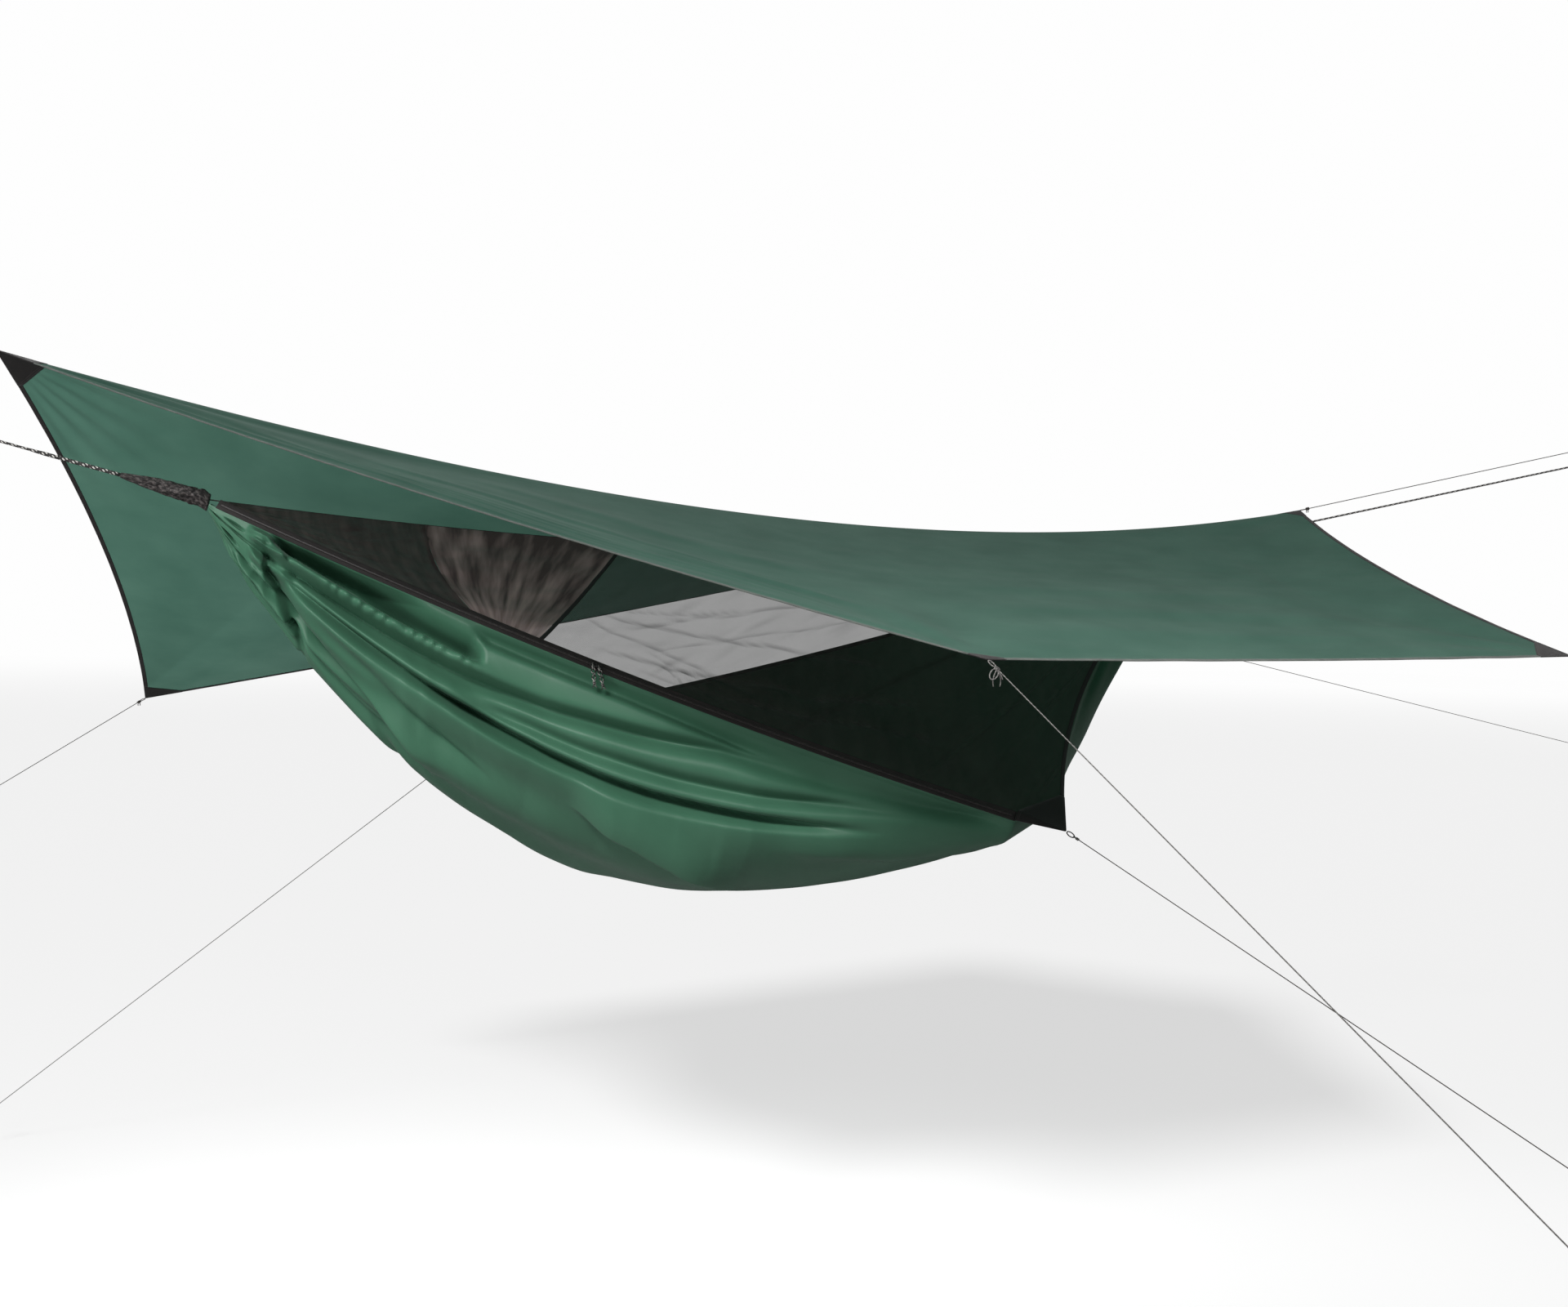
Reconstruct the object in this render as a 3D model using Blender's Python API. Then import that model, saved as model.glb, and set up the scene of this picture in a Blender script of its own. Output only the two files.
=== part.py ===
"""Camping hammock with gathered ends, a zipped bug net and an asymmetric rain tarp, hung between two trees.

All sizes are in metres. The design frame has its origin midway between the two gathered ends, +X along the
ridge, +Y towards the far side and +Z up. An empty carries every piece, and sets the part's own origin at the
far end of the left suspension loop.
"""
import bmesh
import bpy
import numpy as np
from math import asin, cos, pi, radians, sin, tan
from mathutils import Matrix, Vector

for old in list(bpy.data.objects):
    bpy.data.objects.remove(old, do_unlink=True)


def vec(x, y, z):
    return np.array([x, y, z], dtype=float)


def unit(v):
    return v / np.linalg.norm(v)


def mix(a, b, t):
    return a + (b - a) * t


# Clearances
GAP = 0.0003                 # between pieces that touch
SEAM_GAP = 0.0009            # between sewn sheets that meet at an angle

# Hammock: gathered ends, side tie-outs and depth
HALF_SPAN = 1.38             # from the middle to each gathered end
END_TILT = 0.007             # left end above the middle, right end below it
NEAR_TIE = vec(0.572, -0.742, -0.747)
FAR_TIE = vec(-0.572, 0.742, -0.590)
BODY_DEPTH = 0.990           # lowest point of the body below the gathered ends
DEEPEST_X = -0.10
LEFT_FULLNESS = 0.92         # how square the lengthwise profile is on either side: less is squarer
RIGHT_FULLNESS = 1.20
LONG_EDGE_SAG = 0.036
SHORT_EDGE_PULL = 0.130      # how far the body's weight pulls in a short edge
BODY_CLOTH = 0.0016          # thickness
GATHER_R = 0.015             # radius of the gathered cloth at each end

# Zip along the near long edge
TAPE_W = 0.024
TAPE_T = 0.0022
TAPE_LEAN = radians(20)      # lean of the tape towards the ridge
CHAIN_W = 0.0060
CHAIN_T = 0.0020
ZIP_MEET = 0.461             # where the two sliders meet, as a share of the long edge
SLIDER_L = 0.014
SLIDER_W = 0.0100
SLIDER_T = 0.0046
PULL_L = 0.055
PULL_R = 0.0016

# Edge bindings, corner patches and net
BINDING_W = 0.012
BINDING_T = 0.0022
PATCH_T = 0.0024
TIE_PATCH_LONG = 0.125       # along the long edge
TIE_PATCH_SHORT = 0.145      # along the short edge
NET_T = 0.0010
NET_SAG = 0.060              # dip of the net's ridge line
NET_CORD_R = 0.0015
SEAM_W = 0.010

# Tarp
TARP_L = vec(-1.840, 0.0, 0.330)
TARP_R = vec(1.840, 0.0, 0.139)
TARP_NM = vec(0.083, -1.261, -0.326)
TARP_NR = vec(1.642, -1.184, -0.299)
TARP_FL = vec(-1.642, 1.184, -0.542)
TARP_F2 = vec(0.834, 1.250, -0.023)
TARP_CLOTH = 0.0012
RIDGE_SAG = 0.165            # sag of the ridge, to which RIDGE_SKEW adds towards the right
RIDGE_SKEW = 0.060

# Ropes and cords
SUSPENSION_R = 0.0030
SPLICE_R = 0.0046
RIDGE_CORD_R = 0.0014
GUY_R = 0.0012
LEFT_RISE = 0.250            # rise of each suspension rope for a metre outwards
RIGHT_RISE = 0.221
LEFT_ROPE_END = -1.900       # X of the end knots of the suspension ropes
RIGHT_ROPE_END = 3.060
SLEEVE_L = 0.200             # mesh sleeve outside each gathered end
SLEEVE_R = 0.019
ANCHOR_LOOP_R = 0.032
GUY_LOOP_R = 0.020


class Arc:
    """A circular arc from a to b that bulges by sag along the direction towards."""

    def __init__(self, a, b, sag, towards):
        chord = b - a
        self.along = unit(chord)
        self.out = unit(towards - self.along * np.dot(towards, self.along))
        self.length = float(np.linalg.norm(chord))
        self.radius = (self.length ** 2 / 4 + sag ** 2) / (2 * sag)
        self.centre = mix(a, b, 0.5) - self.out * (self.radius - sag)
        self.axis = np.cross(self.along, self.out)
        self.half = asin(self.length / (2 * self.radius))

    def point(self, t):
        return self.centre + self.radius * self.radial(t)

    def radial(self, t):
        angle = (2 * t - 1) * self.half
        return cos(angle) * self.out + sin(angle) * self.along

    def tangent(self, t):
        angle = (2 * t - 1) * self.half
        return cos(angle) * self.along - sin(angle) * self.out


# Outline of the hammock
DOWN = vec(0, 0, -1)
LEFT_END = vec(-HALF_SPAN, 0, END_TILT)
RIGHT_END = vec(HALF_SPAN, 0, -END_TILT)
SIDE = vec(0, GATHER_R, 0)

near_long = Arc(LEFT_END - SIDE, NEAR_TIE, LONG_EDGE_SAG, DOWN)
near_short = Arc(NEAR_TIE, RIGHT_END - SIDE, SHORT_EDGE_PULL, vec(-0.8, 0.3, -0.5))
far_short = Arc(LEFT_END + SIDE, FAR_TIE, SHORT_EDGE_PULL, vec(0.8, -0.3, -0.5))
far_long = Arc(FAR_TIE, RIGHT_END + SIDE, LONG_EDGE_SAG, DOWN)

NEAR_PATCH_A = 1 - TIE_PATCH_LONG / near_long.length
NEAR_PATCH_B = TIE_PATCH_SHORT / near_short.length
FAR_PATCH_A = 1 - TIE_PATCH_SHORT / far_short.length
FAR_PATCH_B = TIE_PATCH_LONG / far_long.length


def tape_up(t):
    """Direction across the zip tape, from the body to the net, at t along the near long edge."""
    return -cos(TAPE_LEAN) * near_long.radial(t) + sin(TAPE_LEAN) * near_long.axis


def net_ridge(x):
    """The net's ridge line at x."""
    share = 1 - (x / HALF_SPAN) ** 2
    return vec(x, 0, -END_TILT * x / HALF_SPAN - NET_SAG * share)


def body_bottom(x):
    """Height of the lowest line of the body at x."""
    side, power = (-1, LEFT_FULLNESS) if x < DEEPEST_X else (1, RIGHT_FULLNESS)
    share = max(0.0, 1 - ((x - DEEPEST_X) / (side * HALF_SPAN - DEEPEST_X)) ** 2)
    return -END_TILT * x / HALF_SPAN - GATHER_R - (BODY_DEPTH - GATHER_R) * share ** power


def section_control(near_z, far_z, floor):
    """Height of both inner control points of a section whose lowest point is at floor."""
    low, high = floor - 1.0, min(near_z, far_z)
    for _ in range(30):
        control = (low + high) / 2
        lowest = min((1 - t) ** 3 * near_z + 3 * t * (1 - t) * control + t ** 3 * far_z
                     for t in [k / 24 for k in range(25)])
        if lowest < floor:
            low = control
        else:
            high = control
    return control


# Points where cords meet, and directions of the guylines
NEAR_GUY = unit(vec(0.450, -0.783, -0.429))
FAR_GUY = unit(vec(-0.689, 0.398, -0.606))
FL_GUY = unit(vec(-0.685, 0.575, -0.448))
F2_GUY = unit(vec(0.963, -0.170, -0.211))
NM_GUY = unit(vec(0.326, -0.728, -0.600))
LEFT_ROPE = unit(vec(-1, 0, LEFT_RISE))
RIGHT_ROPE = unit(vec(1, 0, RIGHT_RISE))
LEFT_KNOT = LEFT_END + LEFT_ROPE * (LEFT_ROPE_END - LEFT_END[0]) / LEFT_ROPE[0]
RIGHT_KNOT = RIGHT_END + RIGHT_ROPE * (RIGHT_ROPE_END - RIGHT_END[0]) / RIGHT_ROPE[0]
KNOT_L = 0.030               # knot of an anchor loop
KNOT_R = 0.0085
HOLD_POINT = LEFT_KNOT + LEFT_ROPE * (KNOT_L + 2 * ANCHOR_LOOP_R - 3 * SUSPENSION_R)

# The tarp's ridge cord ends in a loop that rests on the right anchor loop
RIGHT_ANCHOR_CENTRE = RIGHT_KNOT + RIGHT_ROPE * (KNOT_L + ANCHOR_LOOP_R - SUSPENSION_R)
RIDGE_LOOP_CENTRE = RIGHT_ANCHOR_CENTRE + vec(0, 0, ANCHOR_LOOP_R + GUY_LOOP_R + GAP)
RIDGE_OUT = unit(RIDGE_LOOP_CENTRE - TARP_R)

# One empty for each moving body, on its joint's axis
origin = bpy.data.objects.new("part_origin", None)
origin.location = Vector(-HOLD_POINT)
bpy.context.scene.collection.objects.link(origin)
PIVOTS = {"tarp": vec(0, 0, 0)}
EMPTIES = {"tarp": origin}


def add_body(name, pivot):
    empty = bpy.data.objects.new(name + "_pivot", None)
    empty.location = Vector(pivot)
    empty.parent = origin
    bpy.context.scene.collection.objects.link(empty)
    PIVOTS[name] = pivot
    EMPTIES[name] = empty


# Materials, each piece with its own
def paint(obj, colour, roughness, metallic=0.0):
    material = bpy.data.materials.new(obj.name)
    material.use_nodes = True
    shader = material.node_tree.nodes["Principled BSDF"]
    shader.inputs["Base Color"].default_value = (*colour, 1.0)
    shader.inputs["Roughness"].default_value = roughness
    shader.inputs["Metallic"].default_value = metallic
    obj.data.materials.append(material)


CLOTH = (0.035, 0.135, 0.090)
TARP_GREEN = (0.040, 0.125, 0.085)
BLACK = (0.018, 0.016, 0.016)
NET = (0.050, 0.045, 0.045)
BROWN_NET = (0.075, 0.062, 0.060)
CORD_GREY = (0.16, 0.16, 0.15)
ROPE_BLACK = (0.03, 0.03, 0.03)
SILVER = (0.60, 0.60, 0.60)


# Builders
def finish(obj, body, colour, roughness=0.7, metallic=0.0, smooth=30):
    obj.parent = EMPTIES[body]
    paint(obj, colour, roughness, metallic)
    if smooth:
        obj.data.shade_smooth()
        obj.data.set_sharp_from_angle(angle=radians(smooth))
    return obj


def mesh_object(name, points, faces, body):
    mesh = bpy.data.meshes.new(name)
    mesh.from_pydata([tuple(p - PIVOTS[body]) for p in points], [], faces)
    mesh.validate()
    bm = bmesh.new()
    bm.from_mesh(mesh)
    bmesh.ops.recalc_face_normals(bm, faces=bm.faces)
    bm.to_mesh(mesh)
    bm.free()
    obj = bpy.data.objects.new(name, mesh)
    bpy.context.scene.collection.objects.link(obj)
    return obj


def thicken(obj, thickness):
    solid = obj.modifiers.new("thickness", "SOLIDIFY")
    solid.thickness = thickness
    solid.offset = 0.0
    return obj


def sheet(name, rows, thickness, body, colour, roughness=0.8):
    """A thin closed sheet over a grid of points, rows[i][j]."""
    wide = len(rows[0])
    points = [p for row in rows for p in row]
    faces = []
    for i in range(len(rows) - 1):
        for j in range(wide - 1):
            a = i * wide + j
            faces.append((a, a + 1, a + wide + 1, a + wide))
    obj = thicken(mesh_object(name, points, faces, body), thickness)
    return finish(obj, body, colour, roughness)


def fan(name, tip, rim, thickness, body, colour):
    """A thin patch of triangles from its tip to the points of its rim."""
    faces = [(0, i, i + 1) for i in range(1, len(rim))]
    obj = thicken(mesh_object(name, [tip] + rim, faces, body), thickness)
    return finish(obj, body, colour, 0.75)


def tube(name, route, radii, body, colour, closed=False, resolution=2):
    """A cord along a route; radii is one radius, or one for each point."""
    if not hasattr(radii, "__len__"):
        radii = [radii] * len(route)
    depth = max(radii)
    curve = bpy.data.curves.new(name, "CURVE")
    curve.dimensions = "3D"
    curve.bevel_depth = depth
    curve.bevel_resolution = resolution
    curve.use_fill_caps = not closed
    spline = curve.splines.new("POLY")
    spline.points.add(len(route) - 1)
    spline.use_cyclic_u = closed
    for slot, p, r in zip(spline.points, route, radii):
        slot.co = (*(p - PIVOTS[body]), 1.0)
        slot.radius = r / depth
    obj = bpy.data.objects.new(name, curve)
    bpy.context.scene.collection.objects.link(obj)
    obj.parent = EMPTIES[body]
    paint(obj, colour, 0.6)
    return obj


def frame_from(direction, hint=None):
    """Two unit vectors across a direction, the first one as near to hint as it can be."""
    hint = vec(0, 0, 1) if hint is None else hint
    if abs(np.dot(unit(hint), direction)) > 0.98:
        hint = vec(0, 1, 0)
    first = unit(hint - direction * np.dot(hint, direction))
    return first, np.cross(direction, first)


def turned_points(start, direction, profile, sides, hint=None):
    """Rings of points round an axis; profile lists (distance along the axis, radius)."""
    first, second = frame_from(direction, hint)
    points = []
    for along, radius in profile:
        for k in range(sides):
            angle = 2 * pi * k / sides
            points.append(start + direction * along + radius * (cos(angle) * first + sin(angle) * second))
    return points


def ring_faces(count, sides):
    faces = []
    for i in range(count - 1):
        for k in range(sides):
            a = i * sides + k
            b = i * sides + (k + 1) % sides
            faces.append((a, b, b + sides, a + sides))
    faces.append(tuple(reversed(range(sides))))
    faces.append(tuple((count - 1) * sides + k for k in range(sides)))
    return faces


def turned(name, start, direction, profile, sides, body):
    points = turned_points(start, direction, profile, sides)
    return mesh_object(name, points, ring_faces(len(profile), sides), body)


def torus_object(name, centre, normal, major, minor, body, stretch=1.0, along=None, steps=20, sides=8):
    """A closed ring, drawn out along one direction by stretch."""
    first, second = frame_from(normal, along)
    points = []
    for i in range(steps):
        angle = 2 * pi * i / steps
        out = cos(angle) * stretch * first + sin(angle) * second
        slope = unit(cos(angle) * first + sin(angle) * stretch * second)
        for k in range(sides):
            turn = 2 * pi * k / sides
            points.append(centre + major * out + minor * (cos(turn) * slope + sin(turn) * normal))
    faces = []
    for i in range(steps):
        for k in range(sides):
            a = i * sides + k
            b = i * sides + (k + 1) % sides
            c = ((i + 1) % steps) * sides + (k + 1) % sides
            d = ((i + 1) % steps) * sides + k
            faces.append((a, b, c, d))
    return mesh_object(name, points, faces, body)


def join_solids(obj, other):
    """Unites other with obj."""
    joint = obj.modifiers.new("union", "BOOLEAN")
    joint.operation = "UNION"
    joint.solver = "EXACT"
    joint.object = other
    hide_cutter(other)


def cut_solid(obj, other):
    """Cuts other out of obj."""
    cut = obj.modifiers.new("cut", "BOOLEAN")
    cut.operation = "DIFFERENCE"
    cut.solver = "EXACT"
    cut.object = other
    hide_cutter(other)


def hide_cutter(obj):
    obj.hide_render = True
    obj.display_type = "WIRE"


def knot_profile(length, radius, wraps):
    """A whipped knot: wraps bulges along its length."""
    profile = [(0, 0.55 * radius)]
    for i in range(wraps):
        profile.append(((i + 0.5) * length / wraps, radius))
        if i < wraps - 1:
            profile.append(((i + 1) * length / wraps, 0.85 * radius))
    profile.append((length, 0.55 * radius))
    return profile


def knotted_loop(name, start, direction, knot_length, knot_r, loop_r, cord_r, body, colour, wraps=3):
    """A knot that starts at start, with a loop beyond it."""
    knot = turned(name, start, direction, knot_profile(knot_length, knot_r, wraps), 8, body)
    centre = start + direction * (knot_length + loop_r - cord_r)
    _, across = frame_from(direction)
    loop = torus_object(name + "_loop", centre, across, loop_r - cord_r, cord_r, body, steps=16, sides=6)
    loop.parent = EMPTIES[body]
    join_solids(knot, loop)
    return finish(knot, body, colour, 0.65)


def straight(a, b, spans=5):
    """Points from a to b along a taut line."""
    return [mix(a, b, i / spans) for i in range(spans + 1)]


# Hammock body
def near_up(t):
    """Across the binding of the near short edge, from the body to the net."""
    along = near_short.tangent(t)
    lean = vec(-0.35, 0.55, 0.75)
    return unit(lean - along * np.dot(lean, along))


def far_up(arc, t):
    along = arc.tangent(t)
    lean = vec(0, -sin(TAPE_LEAN), cos(TAPE_LEAN))
    return unit(lean - along * np.dot(lean, along))


def share_at(arc, x):
    """The share of an arc's length where it reaches x."""
    low, high = 0.0, 1.0
    for _ in range(40):
        mid = (low + high) / 2
        if arc.point(mid)[0] < x:
            low = mid
        else:
            high = mid
    return (low + high) / 2


def hem(side, x, way, beyond=0.0):
    """Edge of the side's tape or binding at x, on its net side (way 1) or body side (-1), or beyond that edge."""
    if side == "near":
        a, b, sa, sb = near_long, near_short, NEAR_PATCH_A, NEAR_PATCH_B
    else:
        a, b, sa, sb = far_short, far_long, FAR_PATCH_A, FAR_PATCH_B
    xa = a.point(sa)[0]
    xb = b.point(sb)[0]
    if x <= xa:
        return hem_on(side, a, share_at(a, x), way, beyond)
    if x >= xb:
        return hem_on(side, b, share_at(b, x), way, beyond)
    return mix(hem_on(side, a, sa, way, beyond), hem_on(side, b, sb, way, beyond), (x - xa) / (xb - xa))


def hem_on(side, arc, t, way, beyond=0.0):
    if arc is near_long:
        return arc.point(t) + tape_up(t) * way * (TAPE_W / 2 + beyond)
    up = near_up(t) if side == "near" else far_up(arc, t)
    return arc.point(t) + up * way * (BINDING_W / 2 + beyond)


def body_lean(x, inner_x):
    """How far the cloth leans outwards where it leaves the hem: least at the tie-out."""
    away = min(1.0, abs(x - inner_x) / 0.7)
    return radians(-6) + away * (TAPE_LEAN + radians(6))


FOLDS = 6
FOLD_DEPTH = 0.020


def fold_height(x, t):
    """Folds that spread from both gathered ends and fade towards the middle."""
    reach = 0.0
    for end, shift in ((-HALF_SPAN, 0.0), (HALF_SPAN, 0.4)):
        distance = abs(x - end)
        swell = min(1.0, distance / 0.30) ** 0.8
        fade = 1 / (1 + (distance / 0.75) ** 3)
        reach += FOLD_DEPTH * swell * fade * cos(2 * pi * (FOLDS * t + shift * (1 - t)))
    ends = min(1.0, 6 * t, 6 * (1 - t))
    return reach * ends


def body_section(x, count):
    """Points of the body across it at x, from the near hem to the far hem."""
    near = hem("near", x, -1, SEAM_GAP)
    far = hem("far", x, -1, SEAM_GAP)
    floor = body_bottom(x)
    control = section_control(near[2], far[2], floor)
    lean_n = body_lean(x, NEAR_TIE[0])
    lean_f = body_lean(x, FAR_TIE[0])
    width = far[1] - near[1]
    limit = 0.35 * width
    push_n = min(limit, (near[2] - control) * tan(lean_n))
    push_f = min(limit, (far[2] - control) * tan(lean_f))
    p1 = vec(near[0], near[1] - push_n, control)
    p2 = vec(far[0], far[1] + push_f, control)
    section = []
    for j in range(count + 1):
        t = j / count
        s = 1 - t
        p = s ** 3 * near + 3 * s * s * t * p1 + 3 * s * t * t * p2 + t ** 3 * far
        slope = s * s * (p1 - near) + 2 * s * t * (p2 - p1) + t * t * (far - p2)
        normal = unit(vec(0, slope[2], -slope[1]))
        section.append(p + normal * fold_height(x, t))
    return section


def spread(low, high, count, ease_low=1.0, ease_high=1.0):
    """Count steps from low to high, closer together near an end whose ease is over 1."""
    values = []
    for i in range(count):
        s = i / count
        s = s ** ease_low if ease_high == 1.0 else 1 - (1 - s) ** ease_high
        values.append(mix(low, high, s))
    return values


NEAR_CUT_A, NEAR_CUT_B = near_long.point(NEAR_PATCH_A)[0], near_short.point(NEAR_PATCH_B)[0]
FAR_CUT_A, FAR_CUT_B = far_short.point(FAR_PATCH_A)[0], far_long.point(FAR_PATCH_B)[0]


BODY_LEFT = -HALF_SPAN + 0.0072   # sections whose cloth ends just inside the gathered ends
BODY_RIGHT = HALF_SPAN - 0.0048


def body_stations():
    return (spread(BODY_LEFT, FAR_CUT_A, 9, ease_low=1.8) + spread(FAR_CUT_A, FAR_CUT_B, 2)
            + spread(FAR_CUT_B, NEAR_CUT_A, 5) + spread(NEAR_CUT_A, NEAR_CUT_B, 2)
            + spread(NEAR_CUT_B, BODY_RIGHT, 9, ease_high=1.8) + [BODY_RIGHT])


BODY_COLUMNS = 20


add_body("hammock", LEFT_KNOT)

stations = body_stations()
sheet("hammock_body", [body_section(x, BODY_COLUMNS) for x in stations], BODY_CLOTH, "hammock", CLOTH, 0.55)


# Edges of the hammock
def zip_rows(low, high, count, across, outward, half_width):
    """Rows along the near long edge, moved across the tape and outwards from it."""
    rows = []
    for i in range(count + 1):
        t = mix(low, high, i / count)
        up = tape_up(t)
        face = np.cross(up, near_long.tangent(t))
        middle = near_long.point(t) + up * across + face * outward
        rows.append([middle - up * half_width, middle + up * half_width])
    return rows


ZIP_LOW = 0.012
ZIP_HIGH = NEAR_PATCH_A
CHAIN_OUT = -((TAPE_T + CHAIN_T) / 2 + GAP)
sheet("near_zip_tape", zip_rows(ZIP_LOW, ZIP_HIGH, 36, 0, 0, TAPE_W / 2), TAPE_T, "hammock", BLACK)
sheet("near_zip_chain", zip_rows(ZIP_LOW + 0.004, ZIP_HIGH - 0.004, 36, 0, CHAIN_OUT, CHAIN_W / 2), CHAIN_T,
      "hammock", (0.10, 0.095, 0.095), 0.5)


def stations_between(low, high):
    """The body's stations between low and high, with both of these added."""
    return [low] + [x for x in stations if low + 0.004 < x < high - 0.004] + [high]


def edge_rows(side, low, high):
    return [[hem(side, x, -1), hem(side, x, 1)] for x in stations_between(low, high)]


END_CUT = 0.045              # from each gathered end to the bindings and the net
NET_END = HALF_SPAN - END_CUT
sheet("near_foot_binding", edge_rows("near", NEAR_CUT_B, NET_END), BINDING_T, "hammock", BLACK)
sheet("far_head_binding", edge_rows("far", -NET_END, FAR_CUT_A), BINDING_T, "hammock", BLACK)
sheet("far_long_binding", edge_rows("far", FAR_CUT_B, NET_END), BINDING_T, "hammock", BLACK)


# Tie-out patches over the cut corners
def tie_patch(name, side, arc_a, share_a, arc_b, share_b, tip):
    a_low = hem_on(side, arc_a, share_a, -1)
    a_high = hem_on(side, arc_a, share_a, 1)
    b_low = hem_on(side, arc_b, share_b, -1)
    b_high = hem_on(side, arc_b, share_b, 1)
    plane = unit(np.cross(arc_a.along, arc_b.along))
    if plane[2] < 0:
        plane = -plane
    lift = plane * (TAPE_T + PATCH_T) / 2 + plane * SEAM_GAP
    rim = [p + lift for p in (a_low, a_high, b_high, b_low)]
    fan(name, tip + lift, rim, PATCH_T, "hammock", BLACK)
    return tip + lift


near_tip = tie_patch("near_tieout_patch", "near", near_long, NEAR_PATCH_A, near_short, NEAR_PATCH_B, NEAR_TIE)
far_tip = tie_patch("far_tieout_patch", "far", far_short, FAR_PATCH_A, far_long, FAR_PATCH_B, FAR_TIE)


# Bug net, in ruled panels from its ridge line to the hems
NET_TOP = NET_CORD_R + GAP + NET_T / 2 + 0.0002


def net_rows(side, ridge_low, ridge_high, edge_low, edge_high, bow_low=0.0, bow_high=0.0, wide=4):
    """Rulings of a net panel; bow bends its first and last ones along the ridge."""
    out = -1 if side == "near" else 1
    rows = []
    for x in stations_between(edge_low, edge_high):
        s = (x - edge_low) / (edge_high - edge_low)
        top = net_ridge(mix(ridge_low, ridge_high, s)) + vec(0, out * NET_TOP, 0)
        foot = hem(side, x, 1, SEAM_GAP)
        bow = mix(bow_low, bow_high, s)
        row = []
        for j in range(wide + 1):
            v = j / wide
            row.append(mix(top, foot, v) + vec(bow * 4 * v * (1 - v), 0, 0))
        rows.append(row)
    return rows


HEAD_SEAM_TOP, HEAD_SEAM_FOOT, HEAD_SEAM_BOW = -0.870, -0.780, -0.020
BLACK_SEAM_TOP, BLACK_SEAM_FOOT = -0.350, -0.620
HALF_SEAM = SEAM_W / 2 + GAP

sheet("near_net_head", net_rows("near", -NET_END, HEAD_SEAM_TOP, -NET_END, HEAD_SEAM_FOOT, 0.0, HEAD_SEAM_BOW),
      NET_T, "hammock", NET, 0.9)
sheet("near_net_panel", net_rows("near", HEAD_SEAM_TOP + GAP, BLACK_SEAM_TOP - HALF_SEAM, HEAD_SEAM_FOOT + GAP,
                                 BLACK_SEAM_FOOT - HALF_SEAM, HEAD_SEAM_BOW, 0.0), NET_T, "hammock",
      BROWN_NET, 0.9)
sheet("near_net_seam", net_rows("near", BLACK_SEAM_TOP - SEAM_W / 2, BLACK_SEAM_TOP + SEAM_W / 2,
                                BLACK_SEAM_FOOT - SEAM_W / 2, BLACK_SEAM_FOOT + SEAM_W / 2), 0.0016, "hammock",
      BLACK)
sheet("near_net_main", net_rows("near", BLACK_SEAM_TOP + HALF_SEAM, NET_END, BLACK_SEAM_FOOT + HALF_SEAM, NET_END),
      NET_T, "hammock", NET, 0.9)
sheet("far_net", net_rows("far", -NET_END, NET_END, -NET_END, NET_END), NET_T, "hammock", NET, 0.9)

RIDGE_SPANS = 16
cord_end = HALF_SPAN - 2 * GAP
ridge_route = [net_ridge(mix(-cord_end, cord_end, i / RIDGE_SPANS)) for i in range(RIDGE_SPANS + 1)]
tube("net_ridgeline", ridge_route, NET_CORD_R, "hammock", ROPE_BLACK)


# Gathered ends: mesh sleeves and suspension ropes
SLEEVE_SIDES = 12
MOUTH_DROP = 0.008           # the gathered cloth hangs below the rope's axis


def sleeve(name, end, direction):
    """Crinkled mesh sleeve drawn tight over the gathered end and the start of the rope."""
    outwards = vec(np.sign(direction[0]), 0, 0)
    mouth_centre = end + outwards * GAP - vec(0, 0, MOUTH_DROP)
    mouth = turned_points(mouth_centre, outwards, [(0, 1.08 * SLEEVE_R)], SLEEVE_SIDES)
    profile = []
    for i in range(1, 10):
        s = i / 10
        crinkle = 1 + 0.09 * cos(2.6 * pi * i)
        profile.append((s * SLEEVE_L, SLEEVE_R * crinkle * (1 - 0.68 * s ** 2.2)))
    profile.append((SLEEVE_L, 1.25 * SPLICE_R))
    points = mouth + turned_points(end, direction, profile, SLEEVE_SIDES)
    return finish(mesh_object(name, points, ring_faces(len(profile) + 1, SLEEVE_SIDES), "hammock"), "hammock", BLACK)


sleeve("left_end_sleeve", LEFT_END, LEFT_ROPE)
sleeve("right_end_sleeve", RIGHT_END, RIGHT_ROPE)


SPLICE_L = 0.20              # doubled stretch next to the sleeve
SPLICE_TAPER = 0.03


def suspension(name, end, knot, direction):
    """Rope from the sleeve to the anchor knot, doubled over its first stretch."""
    start = end + direction * (SLEEVE_L + GAP)
    stop = knot - direction * GAP
    length = float(np.linalg.norm(stop - start))
    shares = [0.0, (SPLICE_L - SPLICE_TAPER) / length, SPLICE_L / length, 0.5, 0.75, 1.0]
    radii = [SPLICE_R, SPLICE_R] + [SUSPENSION_R] * 4
    return tube(name, [mix(start, stop, s) for s in shares], radii, "hammock", ROPE_BLACK, resolution=3)


suspension("left_suspension_rope", LEFT_END, LEFT_KNOT, LEFT_ROPE)
suspension("right_suspension_rope", RIGHT_END, RIGHT_KNOT, RIGHT_ROPE)
knotted_loop("left_anchor_loop", LEFT_KNOT, LEFT_ROPE, KNOT_L, KNOT_R, ANCHOR_LOOP_R, SUSPENSION_R, "tarp",
             ROPE_BLACK)
knotted_loop("right_anchor_loop", RIGHT_KNOT, RIGHT_ROPE, KNOT_L, KNOT_R, ANCHOR_LOOP_R, SUSPENSION_R, "tarp",
             ROPE_BLACK)


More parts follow.
